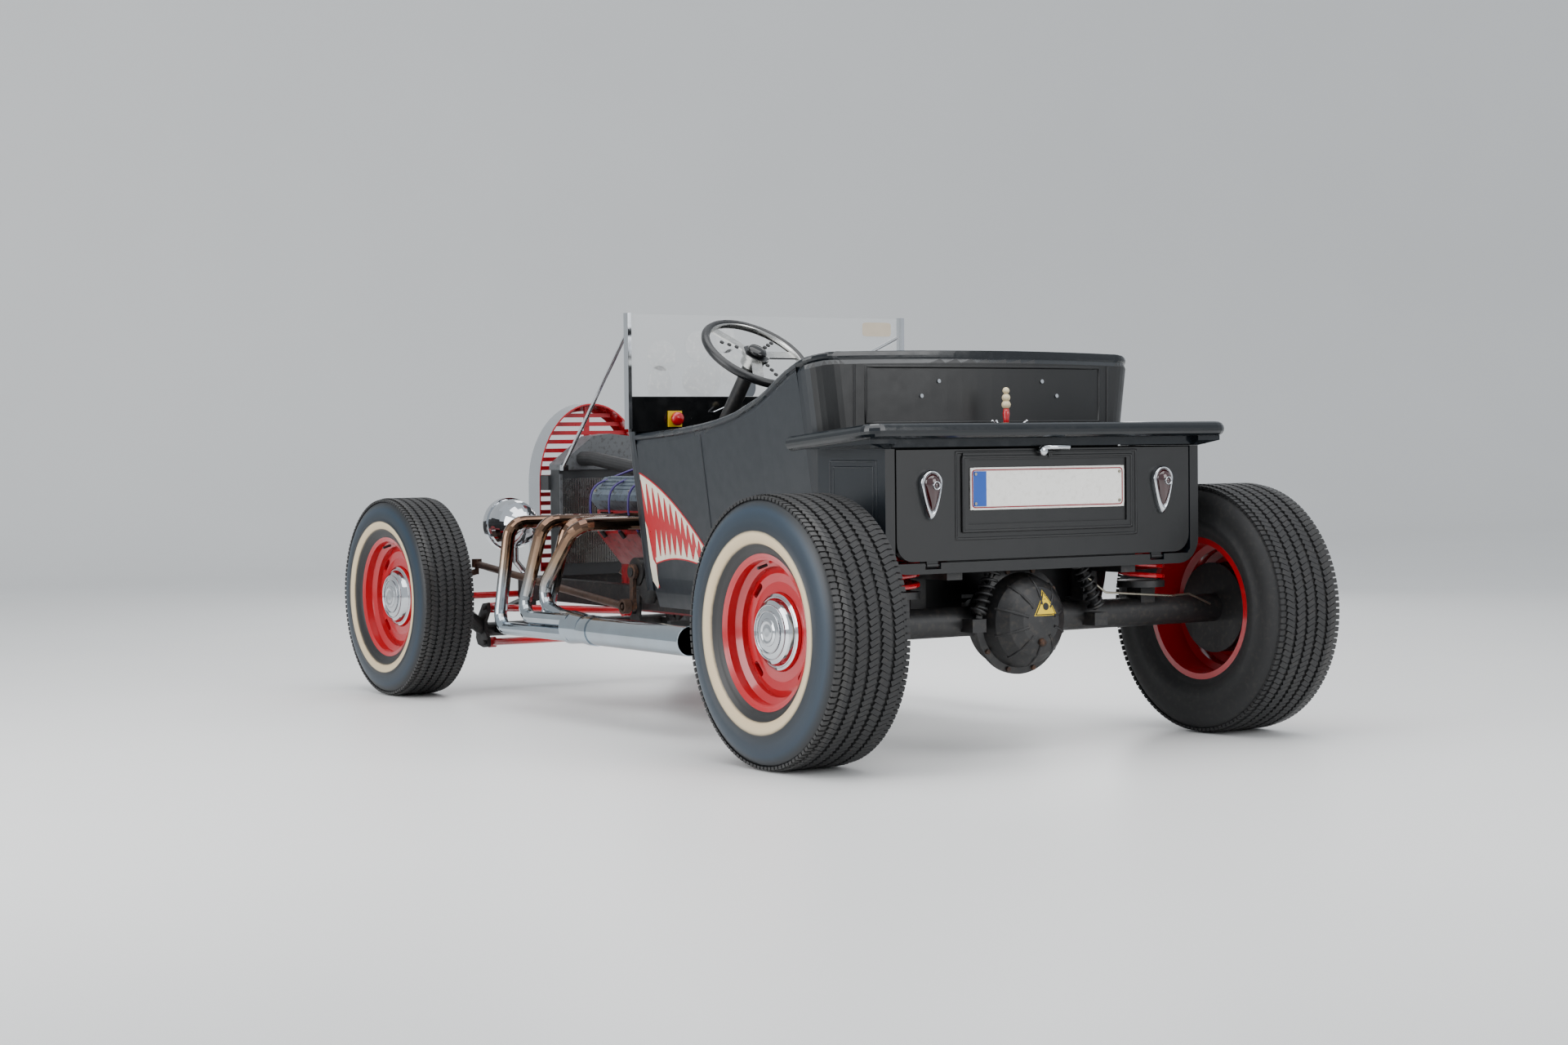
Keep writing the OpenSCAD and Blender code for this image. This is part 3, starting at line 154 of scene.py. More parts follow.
def build_finishes():
    """Every finish of the car, by the plain name of what it is."""
    made = {}
    # Satin two-pack enamel, sprayed: a low sheen with a faint orange peel
    made["body"] = finish("satin_navy_enamel", "#0b1219", 0.36, second="#0f171e", cloud=400,
                          grain=(5, 0.05), rough_by=0.05, IOR=1.5)
    # The same paint in a darker charcoal copy for the rear-facing panels: painted shade, as the tail panels read
    # darker than the sides
    made["tail"] = finish("satin_enamel_painted_shade", "#0e0f10", 0.42, second="#131415", cloud=300,
                          grain=(5, 0.05), rough_by=0.05, IOR=1.5)
    # Padded edge trim, glossy and dark: it draws a bright line round the rim
    made["edge"] = finish("gloss_black_edge_trim", "#0a0f14", 0.16, second="#0e1418", grain=(8, 0.08), IOR=1.5)
    # Brushed-on chassis black, chalky with road dust
    made["chassis"] = finish("satin_black_chassis_paint", "#141517", 0.45, second="#1f1e1e", dirt="#35302b",
                             grain=(4, 0.15), IOR=1.5)
    # Gloss red enamel with a clear top coat
    made["red"] = finish("gloss_red_enamel", "#a30b18", 0.2, second="#b3101d", cloud=200, rough_by=0.05,
                         grain=(6, 0.03), IOR=1.5, Coat_Weight=0.5, Coat_Roughness=0.08)
    # Engine enamel, dulled by heat and oil
    made["engine_red"] = finish("engine_red_enamel", "#8f121a", 0.36, second="#6a1014", dirt="#2c1614",
                                grain=(5, 0.2), IOR=1.5)
    # Decorative chrome plate, polished
    made["chrome"] = finish("chrome_plate", "#cdd0d4", 0.07, metal=1.0, second="#c2c6ca", rough_by=0.03)
    made["alloy"] = finish("polished_aluminium", "#c9c9c6", 0.26, metal=1.0, second="#b5b5b2",
                           grain=(0.8, 0.1))
    made["cast"] = finish("cast_aluminium", "#7f8b96", 0.42, metal=0.9, second="#69747e", dirt="#39322c",
                          grain=(2.5, 0.35))
    made["radiator"] = finish("black_radiator_paint", "#202224", 0.5, second="#2c2e30", grain=(3, 0.2), IOR=1.5)
    made["tank"] = finish("grey_tank_paint", "#585b5e", 0.42, second="#4a4c4e", dirt="#2c2a28",
                          grain=(4, 0.15), IOR=1.5)
    made["steel"] = finish("bare_mild_steel", "#a7a294", 0.32, metal=0.9, second="#8c8778", grain=(1.5, 0.15))
    # Forged steel gone brown: dull, with orange bloom
    made["rust"] = finish("rusty_forged_steel", "#2f2723", 0.66, metal=0.35, second="#4a3428", cloud=35,
                          dirt="#6b4630", grain=(3, 0.5))
    made["link"] = finish("browned_steel_tube", "#5a473c", 0.48, metal=0.6, second="#463229", cloud=60,
                          dirt="#332722", grain=(3, 0.3))
    made["hose"] = finish("moulded_black_rubber", "#141415", 0.55, second="#1d1d1e", grain=(2, 0.3), IOR=1.52)
    made["grip"] = finish("leathergrain_black_grip", "#0d0e10", 0.3, second="#141517", grain=(1.6, 0.25), IOR=1.5)
    made["dash"] = finish("black_gloss_laminate", "#060708", 0.12, second="#0a0b0c", grain=(9, 0.02), IOR=1.5)
    made["floor_mat"] = finish("ribbed_black_mat", "#17181a", 0.7, second="#202123", dirt="#37332e",
                               grain=(3, 0.5), IOR=1.5)
    made["vinyl"] = finish("black_upholstery_vinyl", "#131315", 0.42, second="#19191b", grain=(1.4, 0.35), IOR=1.5)
    made["piping"] = finish("brown_cord_piping", "#4a211a", 0.5, second="#391812", grain=(1.2, 0.4), IOR=1.5)
    made["cover"] = finish("black_cover_vinyl", "#101012", 0.46, second="#171719", grain=(2.2, 0.4), IOR=1.5,
                           Sheen_Weight=0.1)
    made["lens"] = finish("dark_red_lens", "#240306", 0.1, second="#38060a", cloud=30, IOR=1.49,
                          Coat_Weight=1.0, Coat_Roughness=0.04)
    made["red_plastic"] = finish("gloss_red_plastic", "#b80f1c", 0.16, second="#a50c18", IOR=1.49,
                                 Coat_Weight=0.6, Coat_Roughness=0.06)
    made["yellow"] = finish("yellow_vinyl_label", "#e4c111", 0.42, second="#d9b50d", grain=(4, 0.05), IOR=1.5)
    made["black"] = finish("flat_black_vinyl", "#0c0c0d", 0.5, second="#121213", grain=(3, 0.1), IOR=1.5)
    made["cream_paint"] = finish("cream_signwriting_enamel", "#ddd6c4", 0.35, second="#d2cab6", cloud=60,
                                 grain=(6, 0.06), IOR=1.5)
    made["mouth_red"] = finish("red_signwriting_enamel", "#b01623", 0.35, second="#a01420", cloud=60,
                               grain=(6, 0.06), IOR=1.5)
    made["plate"] = finish("white_plate_enamel", "#f1efea", 0.3, second="#eae8e2", dirt="#dad7cf",
                           rough_by=0.05, IOR=1.5)
    made["plate_blue"] = finish("blue_plate_film", "#1d4fa8", 0.35, second="#1a489c", IOR=1.5)
    made["plate_red"] = finish("dark_red_plate_film", "#8f1d27", 0.35, second="#841a23", IOR=1.5)
    made["cream_knob"] = finish("cream_plastic", "#d8c9a6", 0.3, second="#cdbd98", IOR=1.49)
    made["lead"] = finish("purple_silicone_lead", "#3a2b6b", 0.4, second="#2e2259", IOR=1.45)
    made["sticker"] = finish("aged_clear_film", "#d4d6d6", 0.5, second="#c3c5c6", cloud=40, dirt="#e2e2e0",
                             IOR=1.5)
    made["sticker_dark"] = finish("grey_film", "#4d5258", 0.5, second="#5a5f64", cloud=25, IOR=1.5)
    made["sticker_tan"] = finish("beige_film", "#c9bda9", 0.5, second="#bdb09b", cloud=30, IOR=1.5)
    # Clear sheet: almost all light passes, so only a faint haze shows
    made["acrylic"] = finish("clear_acrylic_sheet", "#e9edee", 0.12, rough_by=0.04, IOR=1.05, Alpha=0.07)
    made["glass"] = finish("clear_lamp_glass", "#f2f6f8", 0.04, rough_by=0.02, IOR=1.45,
                           Transmission_Weight=0.9)
    made["header"] = header_finish()
    for corner in WHEELS:
        made[corner + "_tyre"] = tyre_finish(corner)
    return made


def header_finish():
    """Chromed tube: blue-grey where it is cool, straw and brown near the ports where the plate has burnt."""
    made = finish("heat_tinted_chrome", "#b9bcc0", 0.12, metal=1.0, rough_by=0.06)
    tree = made.node_tree
    shader = tree.nodes["Principled BSDF"]
    place = add(tree, "ShaderNodeTexCoord").outputs["Object"]
    split = add(tree, "ShaderNodeSeparateXYZ", {0: place})
    cloud = add(tree, "ShaderNodeTexNoise", {"Vector": place, "Scale": per_mm(80), "Detail": 4.0}).outputs[0]
    heat = add(tree, "ShaderNodeMath", {0: cloud, 1: 0.16, 2: split.outputs[2]}, operation="MULTIPLY_ADD")
    level = add(tree, "ShaderNodeMapRange", {0: heat.outputs[0], 1: 0.3, 2: 0.72}).outputs[0]
    tint = ramp(tree, level, [(0.0, "#a9b6c0"), (0.35, "#9aa0a4"), (0.6, "#937d68"), (0.8, "#7c6250"),
                              (1.0, "#5f4a40")])
    tree.links.new(tint, shader.inputs["Base Color"])
    return made


def tyre_finish(corner):
    """Vulcanised rubber with rings by radius: black bead, cream band, a painted blue-grey sheen on the sidewall,
    dusty tread.
    """
    low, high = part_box(corner + "_tyre")
    middle = (low + high) / 2
    radius = (high.z - low.z) / 2
    side = 1.0 if middle.x > 0 else -1.0
    made = finish(corner + "_tyre_rubber", "#161617", 0.62, second="#1f1f20", dirt="#2b2927", grain=(2, 0.35),
                  IOR=1.52)
    tree = made.node_tree
    shader = tree.nodes["Principled BSDF"]
    place = add(tree, "ShaderNodeTexCoord").outputs["Object"]
    centred = add(tree, "ShaderNodeMapping", {"Vector": place, "Location": -middle}).outputs[0]
    split = add(tree, "ShaderNodeSeparateXYZ", {0: centred})
    across = add(tree, "ShaderNodeCombineXYZ", {1: split.outputs[1], 2: split.outputs[2]})
    reach = add(tree, "ShaderNodeVectorMath", {0: across.outputs[0]}, operation="LENGTH").outputs["Value"]
    waver = add(tree, "ShaderNodeTexNoise", {"Vector": place, "Scale": per_mm(25), "Detail": 4.0}).outputs[0]
    reach = add(tree, "ShaderNodeMath", {0: waver, 1: 0.0016, 2: reach}, operation="MULTIPLY_ADD").outputs[0]
    band = (0.2275, 0.2575) if corner.startswith("rear") else (0.2265, 0.2525)
    # The blue-grey stops past the cream band are a painted sheen: reflected light painted into the rubber's colour
    stops = [(0.0, "#151516"), (band[0], "#151516"), (band[0] + 0.001, "#cbb692"), (band[1], "#d2bf9c"),
             (band[1] + 0.001, "#131a20"), (band[1] + 0.010, "#111c26"), (radius - 0.036, "#142a3a"),
             (radius - 0.022, "#161c22"), (radius - 0.012, "#1b1b1c"), (radius, "#262524")]
    wall = ramp(tree, reach, stops)
    outer = add(tree, "ShaderNodeMath", {0: split.outputs[0], 1: side}, operation="MULTIPLY").outputs[0]
    outer = add(tree, "ShaderNodeMath", {0: outer, 1: (high.x - low.x) * 0.3}, operation="GREATER_THAN").outputs[0]
    plain = shader.inputs["Base Color"].links[0].from_socket
    both = add(tree, "ShaderNodeMix", {0: outer, 6: plain, 7: wall}, data_type="RGBA").outputs[2]
    tree.links.new(both, shader.inputs["Base Color"])
    smooth = add(tree, "ShaderNodeMapRange", {0: outer, 1: 0.0, 2: 1.0, 3: 0.66, 4: 0.42}).outputs[0]
    tree.links.new(smooth, shader.inputs["Roughness"])
    return made


# ---------- Pieces ----------

FINISH = {}


def deliver(piece, body, slot, *replaced):
    """A finished piece rides on its body and may stand for CAD nodes; slot is not used."""
    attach(piece, body)
    if replaced:
        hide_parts(*replaced)
    return piece


def mesh_piece(name, points, faces, material, smooth=True):
    """An object from points and faces, with its normals made outward."""
    mesh = bpy.data.meshes.new(name)
    mesh.from_pydata([tuple(p) for p in points], [], faces)
    made = bmesh.new()
    made.from_mesh(mesh)
    bmesh.ops.remove_doubles(made, verts=made.verts, dist=1e-6)
    bmesh.ops.recalc_face_normals(made, faces=made.faces)
    made.to_mesh(mesh)
    made.free()
    for face in mesh.polygons:
        face.use_smooth = smooth
    mesh.materials.append(FINISH[material])
    piece = bpy.data.objects.new(name, mesh)
    bpy.context.scene.collection.objects.link(piece)
    return piece


def join(name, pieces):
    """One object from several, under the first one's name."""
    made = bmesh.new()
    materials = []
    for piece in pieces:
        start = len(made.faces)
        made.from_mesh(piece.data)
        made.faces.ensure_lookup_table()
        own = [m for m in piece.data.materials]
        for m in own:
            if m not in materials:
                materials.append(m)
        for face in made.faces[start:]:
            face.material_index = materials.index(own[min(face.material_index, len(own) - 1)])
    mesh = bpy.data.meshes.new(name)
    made.to_mesh(mesh)
    made.free()
    for m in materials:
        mesh.materials.append(m)
    for piece in pieces:
        bpy.data.objects.remove(piece)
    whole = bpy.data.objects.new(name, mesh)
    bpy.context.scene.collection.objects.link(whole)
    return whole


def lathe(name, profile, centre, axis, material, steps=48):
    """A closed profile of (radius, height) turned round axis at centre."""
    axis = Vector(axis).normalized()
    one = axis.orthogonal().normalized()
    two = axis.cross(one)
    points, faces = [], []
    n = len(profile)
    for i in range(steps):
        a = 2 * math.pi * i / steps
        out = one * math.cos(a) + two * math.sin(a)
        points += [Vector(centre) + out * r + axis * h for r, h in profile]
    for i in range(steps):
        for j in range(n - 1):
            p, q = i * n + j, (i + 1) % steps * n + j
            faces.append((p, p + 1, q + 1, q))
    return mesh_piece(name, points, faces, material)


def evaluated(piece, name):
    """The piece's modifiers made real, in a new object that has none."""
    depsgraph = bpy.context.evaluated_depsgraph_get()
    mesh = bpy.data.meshes.new_from_object(piece.evaluated_get(depsgraph))
    bpy.data.objects.remove(piece)
    mesh.name = name
    made = bpy.data.objects.new(name, mesh)
    bpy.context.scene.collection.objects.link(made)
    return made


# ---------- Geometry Nodes ----------

def new_tree(name, sockets):
    """A Geometry Nodes tree with a geometry input, the named sockets and a geometry output."""
    tree = bpy.data.node_groups.new(name, "GeometryNodeTree")
    tree.interface.new_socket(name="Geometry", in_out="INPUT", socket_type="NodeSocketGeometry")
    for label, kind in sockets:
        tree.interface.new_socket(name=label, in_out="INPUT", socket_type="NodeSocket" + kind)
    tree.interface.new_socket(name="Geometry", in_out="OUTPUT", socket_type="NodeSocketGeometry")
    return tree, add(tree, "NodeGroupInput").outputs


def end_tree(tree, shape, material, smooth):
    """Realize Instances and Set Material end the tree."""
    real = add(tree, "GeometryNodeRealizeInstances", {0: shape}).outputs[0]
    shaded = add(tree, "GeometryNodeSetShadeSmooth", {"Geometry": real, "Shade Smooth": smooth}).outputs[0]
    painted = add(tree, "GeometryNodeSetMaterial", {"Geometry": shaded, "Material": material}).outputs[0]
    add(tree, "NodeGroupOutput", {0: painted})


def tube_tree():
    """A round section swept along the base's edges."""
    tree, given = new_tree("swept_tube", [("Radius", "Float"), ("Sides", "Int"), ("Material", "Material")])
    path = add(tree, "GeometryNodeMeshToCurve", {0: given["Geometry"]}).outputs[0]
    ring = add(tree, "GeometryNodeCurvePrimitiveCircle", {"Resolution": given["Sides"], "Radius": given["Radius"]})
    swept = add(tree, "GeometryNodeCurveToMesh", {"Curve": path, "Profile Curve": ring.outputs[0],
                                                  "Fill Caps": True}).outputs[0]
    end_tree(tree, swept, given["Material"], True)
    return tree


def stud_tree():
    """A short cylinder stands on each point of the base, along its facing attribute."""
    tree, given = new_tree("studs", [("Radius", "Float"), ("Height", "Float"), ("Sides", "Int"),
                                     ("Material", "Material")])
    facing = add(tree, "GeometryNodeInputNamedAttribute", {"Name": "facing"}, data_type="FLOAT_VECTOR")
    turn = add(tree, "FunctionNodeAlignRotationToVector", {"Vector": facing.outputs[0]}, axis="Z")
    bolt = add(tree, "GeometryNodeMeshCylinder", {"Vertices": given["Sides"], "Radius": given["Radius"],
                                                  "Depth": given["Height"]}).outputs["Mesh"]
    studs = add(tree, "GeometryNodeInstanceOnPoints", {"Points": given["Geometry"], "Instance": bolt,
                                                       "Rotation": turn.outputs[0]}).outputs[0]
    end_tree(tree, studs, given["Material"], False)
    return tree


def fin_tree():
    """Equal bars in a row from Start, each Step from the last."""
    tree, given = new_tree("fins", [("Count", "Int"), ("Start", "Vector"), ("Step", "Vector"), ("Size", "Vector"),
                                    ("Material", "Material")])
    line = add(tree, "GeometryNodeMeshLine", {"Count": given["Count"], "Start Location": given["Start"],
                                              "Offset": given["Step"]}).outputs[0]
    bar = add(tree, "GeometryNodeMeshCube", {"Size": given["Size"]}).outputs["Mesh"]
    bars = add(tree, "GeometryNodeInstanceOnPoints", {"Points": line, "Instance": bar}).outputs[0]
    end_tree(tree, bars, given["Material"], False)
    return tree


def tread_tree():
    """A rib of tread blocks round the X axis: Count blocks on Radius, each turned by Slant on the spot."""
    tree, given = new_tree("tread_rib", [("Count", "Int"), ("Radius", "Float"), ("Size", "Vector"),
                                         ("Slant", "Float"), ("Phase", "Float"), ("Centre", "Vector"),
                                         ("Material", "Material")])
    ring = add(tree, "GeometryNodeMeshCircle", {"Vertices": given["Count"], "Radius": given["Radius"]}).outputs[0]
    block = add(tree, "GeometryNodeMeshCube", {"Size": given["Size"]}).outputs["Mesh"]
    out = add(tree, "GeometryNodeInputPosition").outputs[0]
    turn = add(tree, "FunctionNodeAlignRotationToVector", {"Vector": out}, axis="X").outputs[0]
    slant = add(tree, "ShaderNodeCombineXYZ", {0: given["Slant"]}).outputs[0]
    slant = add(tree, "FunctionNodeEulerToRotation", {0: slant}).outputs[0]
    turn = add(tree, "FunctionNodeRotateRotation", {0: turn, 1: slant}, rotation_space="LOCAL").outputs[0]
    blocks = add(tree, "GeometryNodeInstanceOnPoints", {"Points": ring, "Instance": block,
                                                        "Rotation": turn}).outputs[0]
    spin = add(tree, "ShaderNodeCombineXYZ", {2: given["Phase"]}).outputs[0]
    blocks = add(tree, "GeometryNodeTransform", {"Geometry": blocks, "Rotation": spin}).outputs[0]
    blocks = add(tree, "GeometryNodeTransform", {"Geometry": blocks, "Rotation": (0.0, math.pi / 2, 0.0),
                                                 "Translation": given["Centre"]}).outputs[0]
    end_tree(tree, blocks, given["Material"], False)
    return tree


TREES = {}


def grown(name, kind, material, base=None, **values):
    """The result of one of the trees on a base mesh, as a plain mesh object."""
    if not TREES:
        TREES.update(tube=tube_tree(), studs=stud_tree(), fins=fin_tree(), tread=tread_tree())
    tree = TREES[kind]
    piece = bpy.data.objects.new(name + "_base", base or bpy.data.meshes.new(name))
    bpy.context.scene.collection.objects.link(piece)
    modifier = piece.modifiers.new("shape", "NODES")
    modifier.node_group = tree
    values["Material"] = FINISH[material]
    for item in tree.interface.items_tree:
        if item.in_out == "INPUT" and item.name in values:
            modifier[item.identifier] = values[item.name]
    return evaluated(piece, name)


def path_mesh(points, closed=False):
    """A mesh of edges through the points."""
    mesh = bpy.data.meshes.new("path")
    n = len(points)
    edges = [(i, i + 1) for i in range(n - 1)] + ([(n - 1, 0)] if closed else [])
    mesh.from_pydata([tuple(p) for p in points], edges, [])
    return mesh


def tube(name, points, radius, material, closed=False, sides=10, rounded=0.0):
    """A tube through the points, whose corners are first rounded by that length."""
    if rounded:
        points = soften(points, rounded, closed)
    return grown(name, "tube", material, path_mesh(points, closed), Radius=radius, Sides=sides)


def soften(points, reach, closed=False, steps=5):
    """The path with each corner replaced by a short arc."""
    points = [Vector(p) for p in points]
    n = len(points)
    out = []
    for i, p in enumerate(points):
        if not closed and i in (0, n - 1):
            out.append(p)
            continue
        a, b = points[i - 1], points[(i + 1) % n]
        r = min(reach, (a - p).length * 0.49, (b - p).length * 0.49)
        start, stop = p + (a - p).normalized() * r, p + (b - p).normalized() * r
        for k in range(steps + 1):
            t = k / steps
            out.append(start * (1 - t) ** 2 + p * 2 * t * (1 - t) + stop * t ** 2)
    return out


def studs(name, spots, radius, height, material, sides=6):
    """Bolt heads or studs at (point, facing) pairs."""
    mesh = bpy.data.meshes.new(name)
    mesh.from_pydata([tuple(p) for p, _ in spots], [], [])
    facing = mesh.attributes.new("facing", "FLOAT_VECTOR", "POINT")
    for i, (_, way) in enumerate(spots):
        facing.data[i].vector = Vector(way).normalized()
    return grown(name, "studs", material, mesh, Radius=radius, Height=height, Sides=sides)


def fins(name, count, start, step, size, material):
    return grown(name, "fins", material, Count=count, Start=start, Step=step, Size=size)


# ---------- Surfaces of CAD nodes ----------

SKINS = {}


def skin_of(node):
    if node not in SKINS:
        mesh = NODES[node].data
        SKINS[node] = BVHTree.FromPolygons([v.co for v in mesh.vertices], [tuple(f.vertices) for f in mesh.polygons])
    return SKINS[node]


def cast(node, origin, way, lift=0.0):
    """Where a ray meets a CAD node, lifted off its surface, or None if it misses."""
    way = Vector(way).normalized()
    hit = skin_of(node).ray_cast(Vector(origin), way)[0]
    return hit - way * lift if hit else None


def on_side(node, y, z, side, lift=0.0):
    return cast(node, (side * 1.2, y, z), (-side, 0, 0), lift)


def on_back(node, x, z, lift=0.0):
    return cast(node, (x, 1.9, z), (0, -1, 0), lift)


def repaint(node, materials, choose):
    """A CAD node's slots get these finishes, and choose(centre, normal) gives each face its slot."""
    piece = NODES[node]
    mesh = piece.data
    mesh.materials.clear()
    for name in materials:
        mesh.materials.append(FINISH[name])
    for face in mesh.polygons:
        face.material_index = choose(face.center, face.normal) if choose else 0


# ---------- Settings ----------

class RoadsterSettings(bpy.types.PropertyGroup):
    """Sizes and colours that a user would change."""

    tread_depth: FloatProperty(name="Tread depth", description="Depth of the tyre grooves", default=0.007,
                               min=0.002, max=0.012, unit="LENGTH")
    tread_blocks: IntProperty(name="Tread blocks", description="Blocks round each rib of the tread", default=64,
                              min=24, max=96)
    trim_radius: FloatProperty(name="Moulding radius", description="Radius of the body's pressed mouldings",
                               default=0.005, min=0.002, max=0.01, unit="LENGTH")
    teeth: IntProperty(name="Teeth", description="Teeth on the upper lip of the painted mouth", default=13,
                       min=6, max=20)
    floor_colour: FloatVectorProperty(name="Floor colour", description="Colour of the studio floor",
                                      subtype="COLOR", default=(0.80, 0.80, 0.79), min=0.0, max=1.0)


def settings():
    return bpy.context.scene.roadster


# ---------- Operators ----------

class ROADSTER_OT_paint_cad(bpy.types.Operator):
    """Give every CAD part its finish"""
    bl_idname = "roadster.paint_cad"
    bl_label = "Paint the CAD parts"

    def execute(self, context):
        FINISH.update(build_finishes())
        plain = {
            "chassis": ("chassis_frame", "tie_down_lugs", "front_axle", "steering_column", "driveline"),
            "red": ("radius_rods", "rear_coil_springs", "tie_rod"),
            "steel": ("brake_line",), "cast": ("intake_and_air_cleaner",), "hose": ("radiator_hose",),
            "link": ("drag_link",), "rust": ("left_knuckle", "right_knuckle", "pitman_arm"),
            "glass": ("headlamp_lenses",), "dash": ("dashboard",), "acrylic": ("windshield",),
            "chrome": ("headlamps", "windshield_frame", "gear_lever"), "floor_mat": ("floor_panel",),
            "red_plastic": ("cowl_lamp",), "header": ("left_exhaust_header", "right_exhaust_header"),
            "vinyl": ("seat_cushion", "seat_back"), "cover": ("tonneau_cover",), "body": ("cowl",),
            "engine_red": ("engine_block",),
        }
        for finish_name, nodes in plain.items():
            for node in nodes:
                repaint(node, [finish_name], None)
        for corner in WHEELS:
            repaint(corner + "_tyre", [corner + "_tyre"], None)
        self.paint_by_place()
        return {"FINISHED"}

    def paint_by_place(self):
        """Parts whose faces differ: the tub's rim, the wheels, the lamps and the like."""
        top = {}
        shells = list(TUB_SIDE.values()) + ["tub_back"]
        for v in [v for node in shells for v in NODES[node].data.vertices]:
            key = (round(v.co.y / 0.03), v.co.x > 0) if v.co.y < 1.02 else (round(v.co.x / 0.05), 2)
            top[key] = max(top.get(key, 0.0), v.co.z)

        def tub(c, n):
            key = (round(c.y / 0.03), c.x > 0) if c.y < 1.02 else (round(c.x / 0.05), 2)
            if c.z > top.get(key, 9.0) - 0.030:
                return 1
            # Rear-facing faces of the tub take slot 2, the darker copy of the body paint: painted shade
            return 2 if c.y > 1.03 and n.y > 0.4 else 0
        for node in shells:
            repaint(node, ["body", "edge", "tail"], tub)
        # The bed's rear faces and the tailgate take the same painted-shade copy of the body paint
        repaint("bed_box", ["body", "tail"], lambda c, n: 1 if n.y > 0.7 else 0)
        repaint("tailgate", ["tail"], None)
        repaint("bed_rails", ["edge"], None)
        repaint("engine_fan", ["steel"], None)
        repaint("valve_covers", ["cast"], None)
        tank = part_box("radiator")[1].z - 0.12
        repaint("radiator", ["radiator", "tank"], lambda c, n: 1 if c.z > tank else 0)
        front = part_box("grille_shell")[0].y
        repaint("grille_shell", ["chrome", "red"],
                lambda c, n: 1 if (abs(c.x) * -n.x * (1 if c.x > 0 else -1) - max(0, c.z - 0.7) * n.z > 0.01
                                   or n.y > 0.5) and c.y > front + 0.004 else 0)
        repaint("grille_bars", ["mouth_red"], None)
        repaint("rear_axle", ["chassis", "rust"], lambda c, n: 1 if abs(c.x) > 0.69 else 0)
        repaint("rear_shocks", ["chassis"], None)
        repaint("number_plate", ["plate"], None)
        repaint("tail_lights", ["chrome"], None)
        hub = Vector(next(j["pos_m"] for j in frame["joints"] if j["name"] == "steering_wheel_turn"))
        repaint("steering_wheel", ["grip", "alloy"], lambda c, n: 1 if 0.028 < (c - hub).length < 0.148 else 0)
        for corner in WHEELS:
            low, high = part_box(corner + "_wheel")
            tyre_low, tyre_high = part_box(corner + "_tyre")
            mid = (tyre_low + tyre_high) / 2
            side = 1 if mid.x > 0 else -1
            outer = (high.x if side > 0 else -low.x)

            def part(c, n, mid=mid, side=side, outer=outer):
                reach = math.hypot(c.y - mid.y, c.z - mid.z)
                depth = outer - side * c.x
                if depth < 0.0505 and reach < 0.0975:
                    return 1
                return 2 if reach < 0.130 and depth > 0.076 else 0
            repaint(corner + "_wheel", ["red", "chrome", "chassis"], part)


class ROADSTER_OT_tyres(bpy.types.Operator):
    """Build the tyres with their tread ribs and blocks"""
    bl_idname = "roadster.tyres"
    bl_label = "Build tyres"

    def execute(self, context):
        for corner in WHEELS:
            self.tyre(corner)
        return {"FINISHED"}

    def tyre(self, corner):
        node = corner + "_tyre"
        low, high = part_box(node)
        middle = (low + high) / 2
        radius, half = (high.z - low.z) / 2, (high.x - low.x) / 2
        depth = settings().tread_depth
        floor = radius - depth
        inner = 0.1912
        bead = half * 0.80
        wall = [(inner, 0.90 * bead), (inner + 0.012, bead), (inner + 0.022, bead + 0.006),
                (inner + 0.030, bead + 0.007),
                (inner + 0.038, half * 0.955), (inner + 0.052, half * 0.99), (inner + 0.066, half),
                (inner + 0.0665, half - 0.0008), (floor - 0.058, half - 0.0006), (floor - 0.042, half * 0.985),
                (floor - 0.028, half * 0.955), (floor - 0.016, half * 0.905), (floor - 0.006, half * 0.845),
                (floor - 0.001, half * 0.78), (floor, half * 0.70), (floor, half * 0.3)]
        if wall[6][0] > floor - 0.06:
            wall = [p for p in wall if p[0] < floor - 0.06] + [p for p in wall[8:]]
        profile = wall + [(r, -x) for r, x in reversed(wall)]
        profile.append(profile[0])
        pieces = [lathe(corner + "_carcass", profile, middle, (1, 0, 0), node, steps=120)]
        count = settings().tread_blocks
        ribs = [(-0.60, 0.235, 0.42, 1.0), (-0.30, 0.25, -0.5, 0.5), (0.0, 0.235, 0.45, 0.0),
                (0.30, 0.25, -0.5, 0.5), (0.60, 0.235, 0.42, 1.0)]
        arc = 2 * math.pi * radius / count
        for place, width, slant, shift in ribs:
            for part in (-1, 1):
                size = (depth + 0.004, arc * 0.40, half * width)
                pieces.append(grown("rib", "tread", node, Count=count, Radius=radius - size[0] / 2 - 0.0004,
                                    Size=size, Slant=slant * (1 if place <= 0 else -1),
                                    Phase=(shift + 0.25 * part) * 2 * math.pi / count,
                                    Centre=middle + Vector((half * place, 0, 0))))
        for side in (-1, 1):
            pieces.append(grown("shoulder", "tread", node, Count=count * 2, Radius=radius - 0.0085,
                                Size=(0.008, arc * 0.36, half * 0.15), Slant=0.0, Phase=0.0,
                                Centre=middle + Vector((half * 0.80 * side, 0, 0))))
        deliver(join(corner + "_tyre_with_tread", pieces), BODY_OF[node], "tyre_rubber", node)


